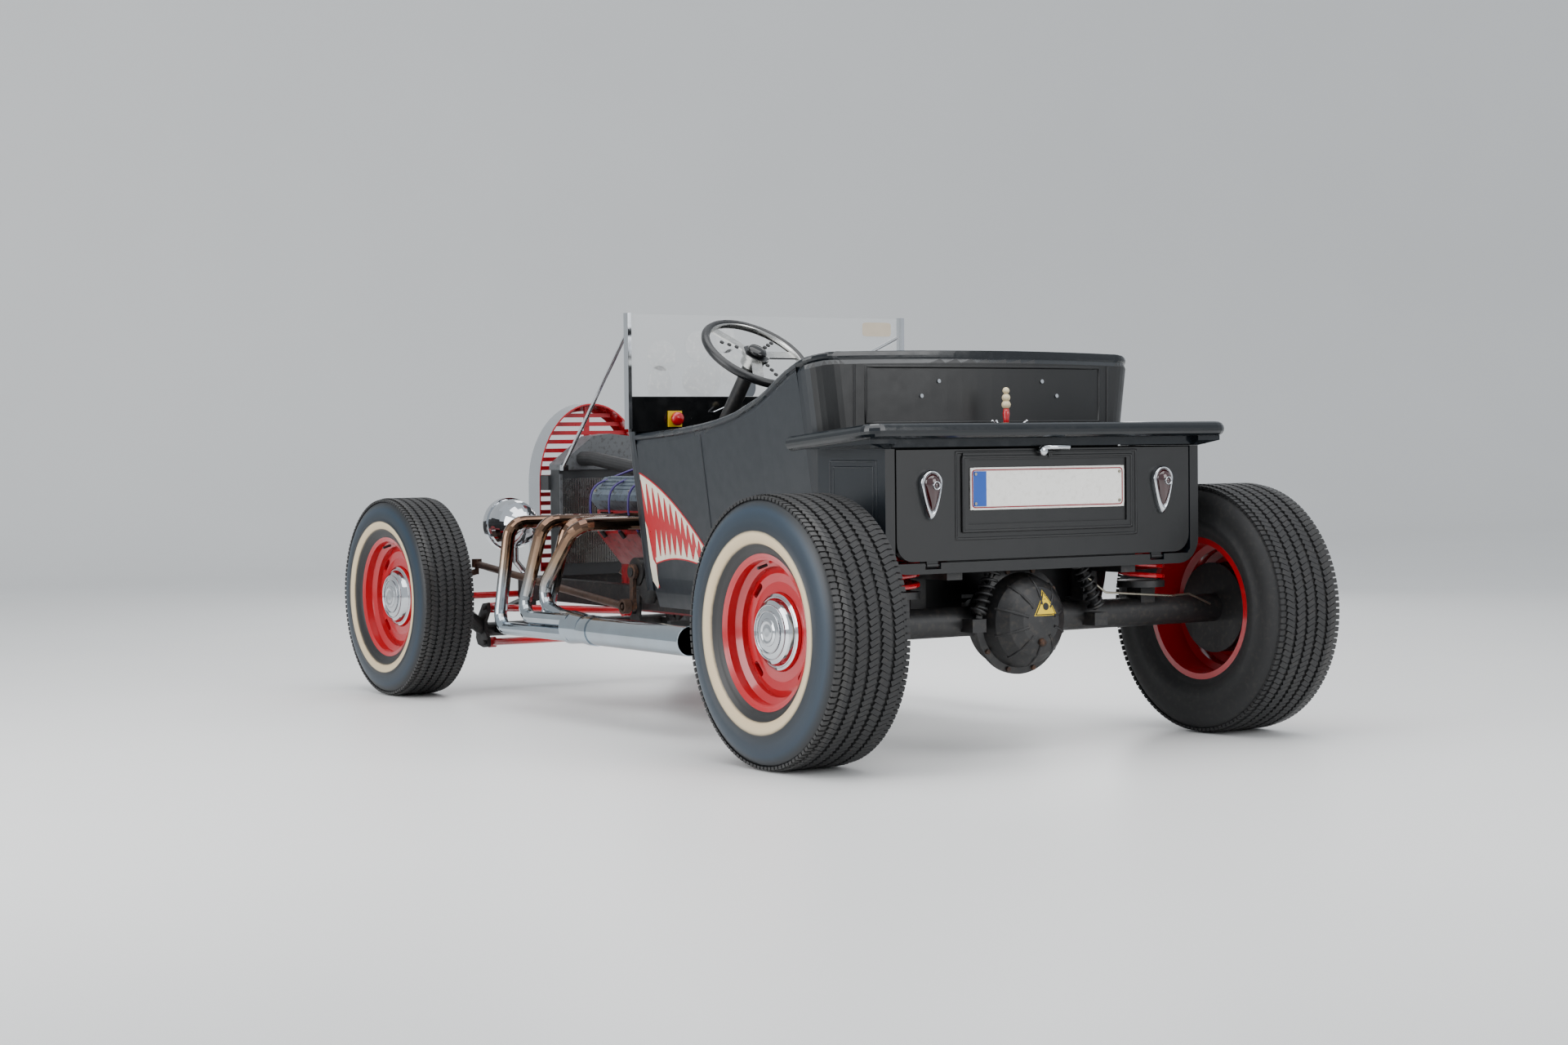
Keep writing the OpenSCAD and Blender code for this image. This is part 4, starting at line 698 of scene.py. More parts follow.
class ROADSTER_OT_wheel_details(bpy.types.Operator):
    """Add a stepped boss and rings to the hub caps, and valve stems"""
    bl_idname = "roadster.wheel_details"
    bl_label = "Add wheel details"

    def execute(self, context):
        for corner in WHEELS:
            low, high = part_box(corner + "_wheel")
            tyre_low, tyre_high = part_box(corner + "_tyre")
            mid = (tyre_low + tyre_high) / 2
            side = 1 if mid.x > 0 else -1
            outer = (high.x if side > 0 else low.x)
            face = outer - side * 0.046
            centre = Vector((face, mid.y, mid.z))
            profile = [(0.0, 0.0368), (0.010, 0.0375), (0.020, 0.0372), (0.024, 0.0355), (0.026, 0.0380),
                       (0.030, 0.0382), (0.034, 0.0350), (0.036, 0.0348)]
            cap = lathe(corner + "_cap_boss", profile + [(0.030, 0.030), (0.0, 0.030)], centre,
                        (side, 0, 0), "chrome")
            rings = [tube("ring", [centre + Vector((side * h, r * math.cos(a), r * math.sin(a)))
                                   for a in [2 * math.pi * k / 48 for k in range(48)]], 0.0016, "chrome",
                          closed=True, sides=8) for r, h in ((0.070, 0.0292), (0.054, 0.0338), (0.0905, 0.0085))]
            deliver(join(corner + "_hub_cap_rings", [cap] + rings), BODY_OF[corner + "_wheel"], "red_paint")
            a = math.radians(100 if side > 0 else 80)
            foot = Vector((outer - side * 0.030, mid.y + 0.173 * math.cos(a), mid.z + 0.173 * math.sin(a)))
            tip = foot + Vector((side * 0.028, -0.008 * math.cos(a), -0.008 * math.sin(a)))
            stem = tube(corner + "_valve_stem", [foot, tip], 0.0042, "hose")
            deliver(stem, BODY_OF[corner + "_wheel"], "rubber_hose")
        return {"FINISHED"}


class ROADSTER_OT_body_mouldings(bpy.types.Operator):
    """Raise the pressed mouldings of the tub, the bed and the tailgate"""
    bl_idname = "roadster.body_mouldings"
    bl_label = "Add body mouldings"

    def execute(self, context):
        r = settings().trim_radius
        sink = -r * 0.35
        lines = []
        for side in (-1, 1):
            lines.append(("body", [on_side(TUB_SIDE[side], 0.385, z, side, sink)
                                   for z in [0.36 + 0.02 * i for i in range(26)]]))
            # Mouldings on the back panel take the darker painted-shade copy of the body paint
            lines.append(("tail", [on_back("tub_back", side * 0.435, z, sink)
                                   for z in [0.84 + 0.02 * i for i in range(11)]]))
        panel = self.rectangle((-0.40, 0.885), (0.40, 1.035), 0.03)
        lines.append(("tail", [on_back("tub_back", x, z, sink) for x, z in panel]))
        pieces = []
        for material, points in lines:
            points = [p for p in points if p]
            pieces.append(tube("line", points, r, material, closed=len(points) > 40, sides=10))
        deliver(join("tub_mouldings", pieces), "chassis", "body_paint")
        pieces = []
        for side in (-1, 1):
            for grow in (0.0, 0.016):
                frame_line = self.rectangle((1.118 - grow, 0.565 - grow), (1.300 + grow, 0.768 + grow), 0.008)
                points = [on_side("bed_box", y, z, side, sink) for y, z in frame_line]
                pieces.append(tube("line", [p for p in points if p], 0.0035, "body", closed=True, sides=8))
        deliver(join("bed_side_pressings", pieces), "chassis", "body_paint")
        pieces = []
        for grow in (0.0, 0.020):
            frame_line = self.rectangle((-0.285 - grow, 0.598 - grow), (0.285 + grow, 0.792 + grow * 0.6), 0.006)
            points = [on_back("tailgate", x, z, sink) for x, z in frame_line]
            # The tailgate's pressings take the darker painted-shade copy of the body paint
            pieces.append(tube("line", [p for p in points if p], 0.0045, "tail", closed=True, sides=8))
        deliver(join("tailgate_pressings", pieces), "tailgate_panel", "body_paint")
        spots = [(on_back("tub_back", x, z, 0.001), (0, 1, 0.1))
                 for x, z in ((-0.177, 0.996), (0.177, 0.996), (-0.232, 0.956), (0.232, 0.956))]
        deliver(studs("back_panel_studs", spots, 0.0055, 0.006, "chrome", 16), "chassis", "chrome")
        return {"FINISHED"}

    def rectangle(self, low, high, step):
        """Points round a rectangle, a step apart."""
        corners = [low, (high[0], low[1]), high, (low[0], high[1])]
        out = []
        for a, b in zip(corners, corners[1:] + corners[:1]):
            n = max(2, int(math.dist(a, b) / step))
            out += [(a[0] + (b[0] - a[0]) * i / n, a[1] + (b[1] - a[1]) * i / n) for i in range(n)]
        return out


class ROADSTER_OT_painted_mouth(bpy.types.Operator):
    """Paint the toothed mouth on both sides of the tub"""
    bl_idname = "roadster.painted_mouth"
    bl_label = "Paint the mouth"

    def execute(self, context):
        for side, name in ((1, "left"), (-1, "right")):
            self.mouth(side, name)
        return {"FINISHED"}

    def curve(self, a, b, c, d, steps):
        """Points of a Bezier curve in Y and Z."""
        return [tuple(sum(w * p[k] for w, p in zip(((1 - t) ** 3, 3 * t * (1 - t) ** 2, 3 * t * t * (1 - t), t ** 3),
                                                   (a, b, c, d))) for k in (0, 1))
                for t in [i / steps for i in range(steps + 1)]]

    def patch(self, name, outline, side, lift, material):
        """A flat outline in Y and Z, cut into small faces and laid on the tub's side."""
        made = bmesh.new()
        loop = [made.verts.new((0, y, z)) for y, z in outline]
        face = made.faces.new(loop)
        bmesh.ops.triangulate(made, faces=[face])
        bmesh.ops.subdivide_edges(made, edges=[e for e in made.edges if e.calc_length() > 0.06], cuts=3,
                                  use_grid_fill=True)
        bmesh.ops.triangulate(made, faces=made.faces)
        for v in made.verts:
            spot = on_side(TUB_SIDE[side], max(v.co.y, TUB_FRONT), v.co.z, side, lift)
            if spot:
                v.co = spot
        for face in made.faces:
            face.normal_update()
            if face.normal.x * side < 0:
                face.normal_flip()
        mesh = bpy.data.meshes.new(name)
        made.to_mesh(mesh)
        made.free()
        mesh.materials.append(FINISH[material])
        piece = bpy.data.objects.new(name, mesh)
        bpy.context.scene.collection.objects.link(piece)
        return piece

    def mouth(self, side, name):
        front = TUB_FRONT
        upper = self.curve((front, 0.745), (0.13, 0.700), (0.27, 0.60), (0.385, 0.482), 52)
        lower = self.curve((0.012, 0.474), (0.12, 0.500), (0.22, 0.500), (0.385, 0.462), 36)
        outline = upper + list(reversed(lower)) + [(0.004, 0.40), (-0.012, 0.40), (front, 0.42)]
        pieces = [self.patch("mouth", outline, side, 0.0006, "mouth_red")]
        pieces += self.teeth(upper, side, 0.020, settings().teeth, -1, (0.10, 0.024))
        pieces += self.teeth(lower, side, 0.017, settings().teeth - 3, 1, (0.085, 0.022))
        strip = [(front, 0.60), (-0.022, 0.58), (-0.008, 0.485), (0.008, 0.470), (0.002, 0.408), (-0.010, 0.396),
                 (front, 0.42)]
        pieces.append(self.patch("strip", strip, side, 0.0010, "cream_paint"))
        for line in (upper, lower):
            points = [on_side(TUB_SIDE[side], y, z, side, 0.0004) for y, z in line]
            pieces.append(tube("outline", [p for p in points if p], 0.0026, "mouth_red", sides=6))
        deliver(join(name + "_painted_mouth", pieces), "chassis", "red_paint")

    def teeth(self, lip, side, band, count, way, lengths):
        """A cream gum along a lip, with fangs that shorten towards the corner."""
        n = len(lip) - 1

        def inward(i):
            a, b = lip[max(0, i - 1)], lip[min(n, i + 1)]
            t = (b[0] - a[0], b[1] - a[1])
            length = math.hypot(*t)
            return (t[1] / length * -way, t[0] / length * way)
        gum = []
        for i, p in enumerate(lip):
            v = inward(i)
            w = band * (1 - 0.75 * i / n)
            gum.append((max(p[0] + v[0] * w, TUB_FRONT), p[1] + v[1] * w))
        pieces = [self.patch("gum", list(lip) + list(reversed(gum)), side, 0.0011, "cream_paint")]
        for k in range(count):
            a, b = k * n / count, (k + 1) * n / count
            mid = (a + b) / 2

            def at(u, line):
                i = min(int(u), n - 1)
                f = u - i
                return tuple(line[i][c] + (line[i + 1][c] - line[i][c]) * f for c in (0, 1))
            p, q, m = at(a, lip), at(b, lip), at(mid, gum)
            reach = lengths[0] + (lengths[1] - lengths[0]) * k / count
            tip = (m[0] + 0.10 * reach, m[1] + way * reach)
            left = (p[0] * 0.62 + tip[0] * 0.38 + 0.004, p[1] * 0.55 + tip[1] * 0.45)
            right = (q[0] * 0.62 + tip[0] * 0.38 - 0.004, q[1] * 0.55 + tip[1] * 0.45)
            shape = [p, left, tip, right, q]
            shape = [(max(y, TUB_FRONT), z) for y, z in shape]
            pieces.append(self.patch("tooth", shape, side, 0.0013, "cream_paint"))
        return pieces


class ROADSTER_OT_tail_details(bpy.types.Operator):
    """Build the tail lights, the number plate, the handle and the rear roll's back board"""
    bl_idname = "roadster.tail_details"
    bl_label = "Add tail details"

    def execute(self, context):
        self.lights()
        self.plate()
        self.filler()
        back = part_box("tailgate")[1].y
        handle = tube("tailgate_handle_bar", [(-0.048, back + 0.013, 0.8145), (-0.010, back + 0.017, 0.8155),
                                              (0.018, back + 0.014, 0.8155), (0.030, back + 0.006, 0.8150)],
                      0.0065, "chrome", rounded=0.01)
        boss = lathe("boss", [(0.0, 0.012), (0.008, 0.012), (0.013, 0.008), (0.014, 0.0), (0.0, 0.0)],
                     (0.030, back - 0.001, 0.806), (0, 1, 0), "chrome", 24)
        deliver(join("tailgate_handle", [handle, boss]), "tailgate_panel", "chrome")
        return {"FINISHED"}

    def lights(self):
        """Teardrop lens in a bright bezel, with a round reflector in a ring."""
        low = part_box("tail_lights")[0]
        pieces = []
        for side in (-1, 1):
            points = [v.co for v in NODES["tail_lights"].data.vertices if v.co.x * side > 0]
            x0, x1 = min(p.x for p in points), max(p.x for p in points)
            z0, z1 = min(p.z for p in points), max(p.z for p in points)
            cx, half, tall = (x0 + x1) / 2, (x1 - x0) / 2, z1 - z0
            wide = z1 - half

            def drop(scale, y, t, cx=cx, half=half, tall=tall, wide=wide, z0=z0):
                """A point of the teardrop's outline: round above, drawn to a tip below."""
                a = 2 * math.pi * t
                s, c = math.sin(a), math.cos(a)
                if c >= 0:
                    return Vector((cx + half * scale * s, y, wide + half * scale * c * 1.05))
                return Vector((cx + half * scale * s * (1 - 0.35 * -c), y, wide + (wide - z0) * scale * c))
            steps = 40
            rings = [(1.0, low.y), (1.0, low.y + 0.010), (0.90, low.y + 0.018), (0.80, low.y + 0.018),
                     (0.76, low.y + 0.013)]
            loops = [[drop(s, y, i / steps) for i in range(steps)] for s, y in rings]
            pieces.append(self.loft("bezel", loops, "chrome"))
            dome = [(0.77, 0.013), (0.70, 0.020), (0.55, 0.026), (0.35, 0.030), (0.12, 0.032), (0.01, 0.0322)]
            loops = [[drop(s, low.y + y, i / steps) for i in range(steps)] for s, y in dome]
            pieces.append(self.loft("lens", loops, "lens"))
            eye = (cx, low.y + 0.026, wide - half * 0.15)
            pieces.append(lathe("eye", [(0.0095, 0.0), (0.0115, 0.010), (0.0100, 0.012), (0.0082, 0.009),
                                        (0.0078, 0.006)], eye, (0, 1, 0), "chrome", 28))
            pieces.append(lathe("pupil", [(0.0, 0.010), (0.004, 0.0095), (0.0079, 0.0065), (0.0079, 0.0),
                                          (0.0, 0.0)], eye, (0, 1, 0), "lens", 28))
        deliver(join("teardrop_tail_lights", pieces), "tailgate_panel", "red_lens", "tail_lights")

    def filler(self):
        """The padding's back board, which closes the gap between the bed and the rear roll."""
        low, high = Vector((-0.56, 1.330, 0.819)), Vector((0.56, 1.352, 0.846))
        points = [(x, y, z) for x in (low.x, high.x) for y in (low.y, high.y) for z in (low.z, high.z)]
        faces = [(0, 1, 3, 2), (4, 6, 7, 5), (0, 4, 5, 1), (2, 3, 7, 6), (0, 2, 6, 4), (1, 5, 7, 3)]
        board = mesh_piece("rear_roll_board", points, faces, "edge", smooth=False)
        deliver(board, "chassis", "gloss_black_trim")

    def loft(self, name, loops, material):
        n = len(loops[0])
        points = [p for loop in loops for p in loop]
        faces = [(i * n + j, i * n + (j + 1) % n, (i + 1) * n + (j + 1) % n, (i + 1) * n + j)
                 for i in range(len(loops) - 1) for j in range(n)]
        return mesh_piece(name, points, faces, material)

    def plate(self):
        """A blank pressed plate: a thin red rim, a blue end band and four screws."""
        low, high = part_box("number_plate")
        y = high.y + 0.0006
        inset = 0.006
        rim = [(low.x + inset, y, low.z + inset), (high.x - inset, y, low.z + inset),
               (high.x - inset, y, high.z - inset), (low.x + inset, y, high.z - inset)]
        pieces = [tube("rim", rim, 0.0016, "plate_red", closed=True, sides=8, rounded=0.01)]
        edge = [(low.x + 0.001, y - 0.001, low.z + 0.001), (high.x - 0.001, y - 0.001, low.z + 0.001),
                (high.x - 0.001, y - 0.001, high.z - 0.001), (low.x + 0.001, y - 0.001, high.z - 0.001)]
        pieces.append(tube("edge", edge, 0.0018, "plate", closed=True, sides=8, rounded=0.012))
        x0, x1 = high.x - 0.052, high.x - 0.009
        band = [(x0, y, low.z + 0.009), (x1, y, low.z + 0.009), (x1, y, high.z - 0.009), (x0, y, high.z - 0.009)]
        pieces.append(mesh_piece("band", band, [(3, 2, 1, 0)], "plate_blue", smooth=False))
        spots = [((x, y + 0.001, z), (0, 1, 0)) for x in (low.x + 0.016, high.x - 0.016)
                 for z in (low.z + 0.016, high.z - 0.016)]
        pieces.append(studs("screws", spots, 0.0042, 0.003, "steel", 12))
        deliver(join("number_plate_face", pieces), "tailgate_panel", "plate_white")


class ROADSTER_OT_upholstery(bpy.types.Operator):
    """Stuff the bench seat and stretch the bed cover"""
    bl_idname = "roadster.upholstery"
    bl_label = "Upholster"

    def execute(self, context):
        self.cushion("seat_cushion", "bench_cushion", (0, 0, 1), 9)
        self.cushion("seat_back", "bench_backrest", (0, -1, 0), 9)
        self.cover()
        return {"FINISHED"}

    def cushion(self, node, name, face, channels):
        """A pad swollen by cloth pressure, then pleated across its face."""
        low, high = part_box(node)
        middle, half = (low + high) / 2, (high - low) / 2
        shrink = 0.012
        made = bmesh.new()
        bmesh.ops.create_cube(made, size=2.0)
        bmesh.ops.subdivide_edges(made, edges=made.edges[:], cuts=11, use_grid_fill=True)
        for v in made.verts:
            p = v.co
            round_by = sum(abs(c) ** 6 for c in p) ** (1 / 6)
            v.co = Vector([middle[k] + p[k] / max(round_by, 1e-6) * (half[k] - shrink) for k in range(3)])
        mesh = bpy.data.meshes.new(name)
        made.to_mesh(mesh)
        made.free()
        piece = bpy.data.objects.new(name, mesh)
        bpy.context.scene.collection.objects.link(piece)
        remesh = piece.modifiers.new("even", "REMESH")
        remesh.mode = "VOXEL"
        remesh.voxel_size = 0.014
        piece = evaluated(piece, name)
        rest = [v.co.copy() for v in piece.data.vertices]
        cloth = piece.modifiers.new("cloth", "CLOTH")
        cloth.settings.use_pressure = True
        cloth.settings.uniform_pressure_force = 4.0
        cloth.settings.effector_weights.gravity = 0.0
        scene = bpy.context.scene
        for step in range(1, 13):
            scene.frame_set(step)
        piece = evaluated(piece, name)
        scene.frame_set(1)
        for v, was in zip(piece.data.vertices, rest):
            move = v.co - was
            if move.length > 0.010:
                v.co = was + move.normalized() * 0.010
        for v in piece.data.vertices:
            along = (v.co.x - low.x) / (high.x - low.x) * channels
            depth = 0.010 * (1 - abs(math.sin(math.pi * along)) ** 0.4)
            facing = (v.co - middle).dot(Vector(face)) / max(abs(half.dot(Vector(face))), 1e-6)
            if facing > 0:
                v.co -= Vector(face) * depth * min(1.0, facing * 1.6)
            v.co = Vector([min(max(v.co[k], low[k]), high[k]) for k in range(3)])
        for f in piece.data.polygons:
            f.use_smooth = True
        piece.data.materials.clear()
        piece.data.materials.append(FINISH["vinyl"])
        piece.modifiers.new("smooth", "SUBSURF").levels = 1
        piece.modifiers["smooth"].render_levels = 1
        deliver(piece, "chassis", "black_vinyl", node)

    def cover(self):
        """A vinyl sheet drawn tight over the bed, dipping a little between its edges."""
        low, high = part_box("tonneau_cover")
        nx, ny = 72, 16
        front_z, back_z = low.z + 0.011, high.z - 0.001
        points, faces = [], []
        for layer in (0.0, -0.003):
            for j in range(ny + 1):
                for i in range(nx + 1):
                    u, v = i / nx, j / ny
                    sag = 0.006 * math.sin(math.pi * u) ** 0.5 * math.sin(math.pi * v)
                    ripple = 0.0012 * math.sin(u * 61) * math.sin(math.pi * v) ** 2 * (1 - v)
                    points.append((low.x + (high.x - low.x) * u, low.y + (high.y - low.y) * v,
                                   front_z + (back_z - front_z) * v - sag + ripple + layer))
        row, size = nx + 1, (nx + 1) * (ny + 1)
        for j in range(ny):
            for i in range(nx):
                a = j * row + i
                faces.append((a, a + 1, a + row + 1, a + row))
                faces.append((size + a, size + a + row, size + a + row + 1, size + a + 1))
        rim = ([(i, 0) for i in range(nx)] + [(nx, j) for j in range(ny)]
               + [(i, ny) for i in range(nx, 0, -1)] + [(0, j) for j in range(ny, 0, -1)])
        for (a, b), (c, d) in zip(rim, rim[1:] + rim[:1]):
            p, q = b * row + a, d * row + c
            faces.append((p, size + p, size + q, q))
        sheet = mesh_piece("bed_cover", points, faces, "cover")
        deliver(sheet, "chassis", "cover_cloth", "tonneau_cover")
        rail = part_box("bed_rails")[1]
        y = rail.y - 0.040
        seam = [(x, y, cast("bed_rails", (x, y, 1.2), (0, 0, -1)).z) for x in
                [-0.56 + 0.04 * i for i in range(29)]]
        seam = [p for p in seam if p]
        deliver(tube("roll_piping", seam, 0.0028, "piping", sides=8), "chassis", "cover_cloth")


class ROADSTER_OT_windshield_details(bpy.types.Operator):
    """Stick the aged blank stickers on the screen"""
    bl_idname = "roadster.windshield_details"
    bl_label = "Add windshield details"

    def execute(self, context):
        low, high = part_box("windshield")
        wide, tall = high.x - low.x, high.z - low.z
        spots = [(0.89, 0.50, 0.050, 0.046, "sticker"), (0.76, 0.62, 0.045, 0.045, "sticker"),
                 (0.90, 0.15, 0.042, 0.055, "sticker"), (0.75, 0.20, 0.068, 0.055, "sticker"),
                 (0.64, 0.38, 0.048, 0.052, "sticker"), (0.58, 0.12, 0.028, 0.036, "sticker_dark"),
                 (0.66, 0.70, 0.036, 0.040, "sticker")]
        pieces = []
        for u, v, a, b, material in spots:
            centre = (low.x + wide * u, low.z + tall * v)
            pieces.append(self.disc(centre, a, b, high, low, material))
        corner = (low.x + wide * 0.09, low.z + tall * 0.86)
        pieces.append(self.disc(corner, 0.055, 0.022, high, low, "sticker_tan", power=8))
        deliver(join("windshield_stickers", pieces), "chassis", "clear_acrylic")
        return {"FINISHED"}

    def disc(self, centre, a, b, high, low, material, power=2):
        """A thin rounded film on the back of the screen."""
        rim = []
        for k in range(40):
            t = 2 * math.pi * k / 40
            c, s = math.cos(t), math.sin(t)
            f = (abs(c) ** power + abs(s) ** power) ** (-1 / power)
            x, z = centre[0] + a * c * f, centre[1] + b * s * f
            spot = cast("windshield", (x, 1.5, z), (0, -1, 0), 0.0008)
            if spot:
                rim.append(spot)
        return mesh_piece("film", rim, [tuple(range(len(rim)))], material, smooth=False)


class ROADSTER_OT_cockpit_details(bpy.types.Operator):
    """Add the dashboard's controls, dials and the steering wheel's horn button"""
    bl_idname = "roadster.cockpit_details"
    bl_label = "Add cockpit details"

    def execute(self, context):
        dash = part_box("dashboard")[1].y
        pieces = [lathe("button", [(0.0, 0.026), (0.014, 0.025), (0.020, 0.020), (0.021, 0.010), (0.012, 0.008),
                                   (0.012, 0.0), (0.0, 0.0)], (BUTTON_X, dash + 0.003, BUTTON_Z), (0, 1, 0),
                        "red_plastic", 32)]
        pad = [(-0.024, 0.0), (0.024, 0.0), (0.024, 0.003), (-0.024, 0.003)]
        corners = [(BUTTON_X + x, dash + y, BUTTON_Z + z) for z in (-0.024, 0.024) for x, y in pad]
        pieces.append(mesh_piece("pad", corners,
                                 [(0, 1, 2, 3), (7, 6, 5, 4), (0, 4, 5, 1), (1, 5, 6, 2), (2, 6, 7, 3), (3, 7, 4, 0)],
                                 "yellow", smooth=False))
        lever = [(0.216, dash - 0.002, 0.927), (0.214, dash + 0.014, 0.928), (0.173, dash + 0.040, 0.949)]
        pieces.append(tube("lever", lever, 0.0026, "chrome", rounded=0.01))
        pieces.append(lathe("knob", [(0.0, -0.010), (0.006, -0.008), (0.009, 0.0), (0.009, 0.008), (0.005, 0.014),
                                     (0.0, 0.015)], lever[2], (-0.78, 0.5, 0.38), "cream_knob", 24))
        for x, r in ((0.02, 0.040), (-0.09, 0.026), (-0.16, 0.026), (-0.23, 0.026)):
            centre = (x, dash + 0.0002, DIAL_Z)
            pieces.append(lathe("bezel", [(r, 0.0), (r, 0.007), (r - 0.002, 0.009), (r - 0.005, 0.008),
                                          (r - 0.006, 0.003)], centre, (0, 1, 0), "chrome", 36))
            pieces.append(lathe("dial", [(r - 0.005, 0.003), (0.0, 0.003)], centre, (0, 1, 0), "cream_paint", 36))
            needle = [(x, dash + 0.0045, DIAL_Z), (x + r * 0.45, dash + 0.0045, DIAL_Z + r * 0.45)]
            pieces.append(tube("needle", needle, 0.0009, "mouth_red", sides=6))
            ticks = [((x + (r - 0.010) * math.cos(a), dash + 0.0036, DIAL_Z + (r - 0.010) * math.sin(a)), (0, 1, 0))
                     for a in [math.radians(225 - 27 * k) for k in range(11)]]
            pieces.append(studs("ticks", ticks, 0.0011, 0.0008, "black", 6))
        deliver(join("dashboard_controls", pieces), "chassis", "dash_black")
        joint = next(j for j in frame["joints"] if j["name"] == "steering_wheel_turn")
        hub, axis = Vector(joint["pos_m"]), Vector(joint["axis"])
        side = axis.cross(Vector((0, 0, 1))).normalized()
        top = side.cross(axis)
        spots = []
        for k in range(3):
            a = math.radians(90 + 120 * k)
            way = side * math.cos(a) - top * math.sin(a)
            for r in (0.062, 0.085, 0.108):
                spots.append((hub + way * r + axis * 0.0035, axis))
        holes = studs("holes", spots, 0.0065, 0.004, "black", 16)
        rim = lathe("rim", [(0.024, 0.002), (0.030, 0.010), (0.026, 0.017), (0.012, 0.020), (0.0, 0.0205)],
                    hub, axis, "dash", 36)
        deliver(join("steering_wheel_details", [holes, rim]), "steering_wheel_rim", "steering_black")
        return {"FINISHED"}


class ROADSTER_OT_engine_details(bpy.types.Operator):
    """Add the radiator's core fins, the valve covers' ribs and bolts, and the ignition leads"""
    bl_idname = "roadster.engine_details"
    bl_label = "Add engine details"

    def execute(self, context):
        low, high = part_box("radiator")
        core_top = high.z - 0.14
        y = cast("radiator", (0.0, -0.75, 0.55), (0, -1, 0)).y
        front = cast("radiator", (0.0, -1.4, 0.55), (0, 1, 0)).y
        z = (low.z + 0.03 + core_top) / 2
        tall = core_top - low.z - 0.05
        pieces = [fins("core", 62, (-0.183, at, z), (0.006, 0, 0), (0.0016, 0.005, tall), "alloy")
                  for at in (y + 0.001, front - 0.001)]
        for at in (y + 0.002, front - 0.002):
            pieces.append(fins("tubes", 2, (-0.1895, at, z), (0.379, 0, 0), (0.010, 0.006, tall + 0.03), "tank"))
        deliver(join("radiator_core_fins", pieces), "chassis", "radiator_metal")
        self.covers()
        self.leads()
        return {"FINISHED"}

    def covers(self):
        """Ribs along the tops of the valve covers and a bolt at each corner."""
        pieces = []
        for side in (-1, 1):
            points = [v.co for v in NODES["valve_covers"].data.vertices if v.co.x * side > 0]
            x0, x1 = min(p.x for p in points), max(p.x for p in points)
            y0, y1 = min(p.y for p in points), max(p.y for p in points)
            for k in range(7):
                x = x0 + (x1 - x0) * (0.18 + 0.64 * k / 6)
                line = [cast("valve_covers", (x, y, 1.3), (0, 0, -1)) for y in (y0 + 0.03, y1 - 0.03)]
                if line[0] and line[1]:
                    pieces.append(tube("rib", line, 0.004, "cast", sides=6))
            spots = []
            for y in [y0 + 0.02 + (y1 - y0 - 0.04) * k / 4 for k in range(5)]:
                spot = cast("valve_covers", ((x0 + x1) / 2 + side * (x1 - x0) * 0.40, y, 1.3), (0, 0, -1))
                if spot:
                    spots.append((spot, (side * 0.5, 0, 0.8)))
            if spots:
                pieces.append(studs("bolts", spots, 0.006, 0.010, "steel", 6))
        deliver(join("valve_cover_ribs", pieces), "chassis", "cast_aluminium")

    def leads(self):
        """Ignition leads from the distributor down to each side's plugs, between the header tubes."""
        low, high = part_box("engine_block")
        cover_low, cover_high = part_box("valve_covers")
        pieces = []
        for side in (-1, 1):
            for k in range(4):
                y = low.y + (high.y - low.y) * (0.16 + 0.22 * k)
                outer = side * cover_high.x
                path = [(side * 0.04, high.y - 0.06, cover_high.z + 0.02), (side * 0.10, y, cover_high.z + 0.030),
                        (outer + side * 0.016, y + 0.01, cover_high.z - 0.03),
                        (outer + side * 0.020, y + 0.015, cover_low.z - 0.02),
                        (outer - side * 0.015, y + 0.02, cover_low.z - 0.065)]
                pieces.append(tube("lead", path, 0.0038, "lead", sides=8, rounded=0.05))
                boot = [path[-1], (path[-1][0] - side * 0.018, y + 0.02, path[-1][2] - 0.022)]
                pieces.append(tube("boot", boot, 0.007, "hose", sides=10))
        cap = lathe("cap", [(0.0, 0.06), (0.035, 0.055), (0.045, 0.03), (0.045, 0.0), (0.0, 0.0)],
                    (0, high.y - 0.055, cover_high.z - 0.03), (0, 0, 1), "black", 32)
        pieces.append(cap)
        deliver(join("ignition_leads", pieces), "chassis", "rubber_hose")


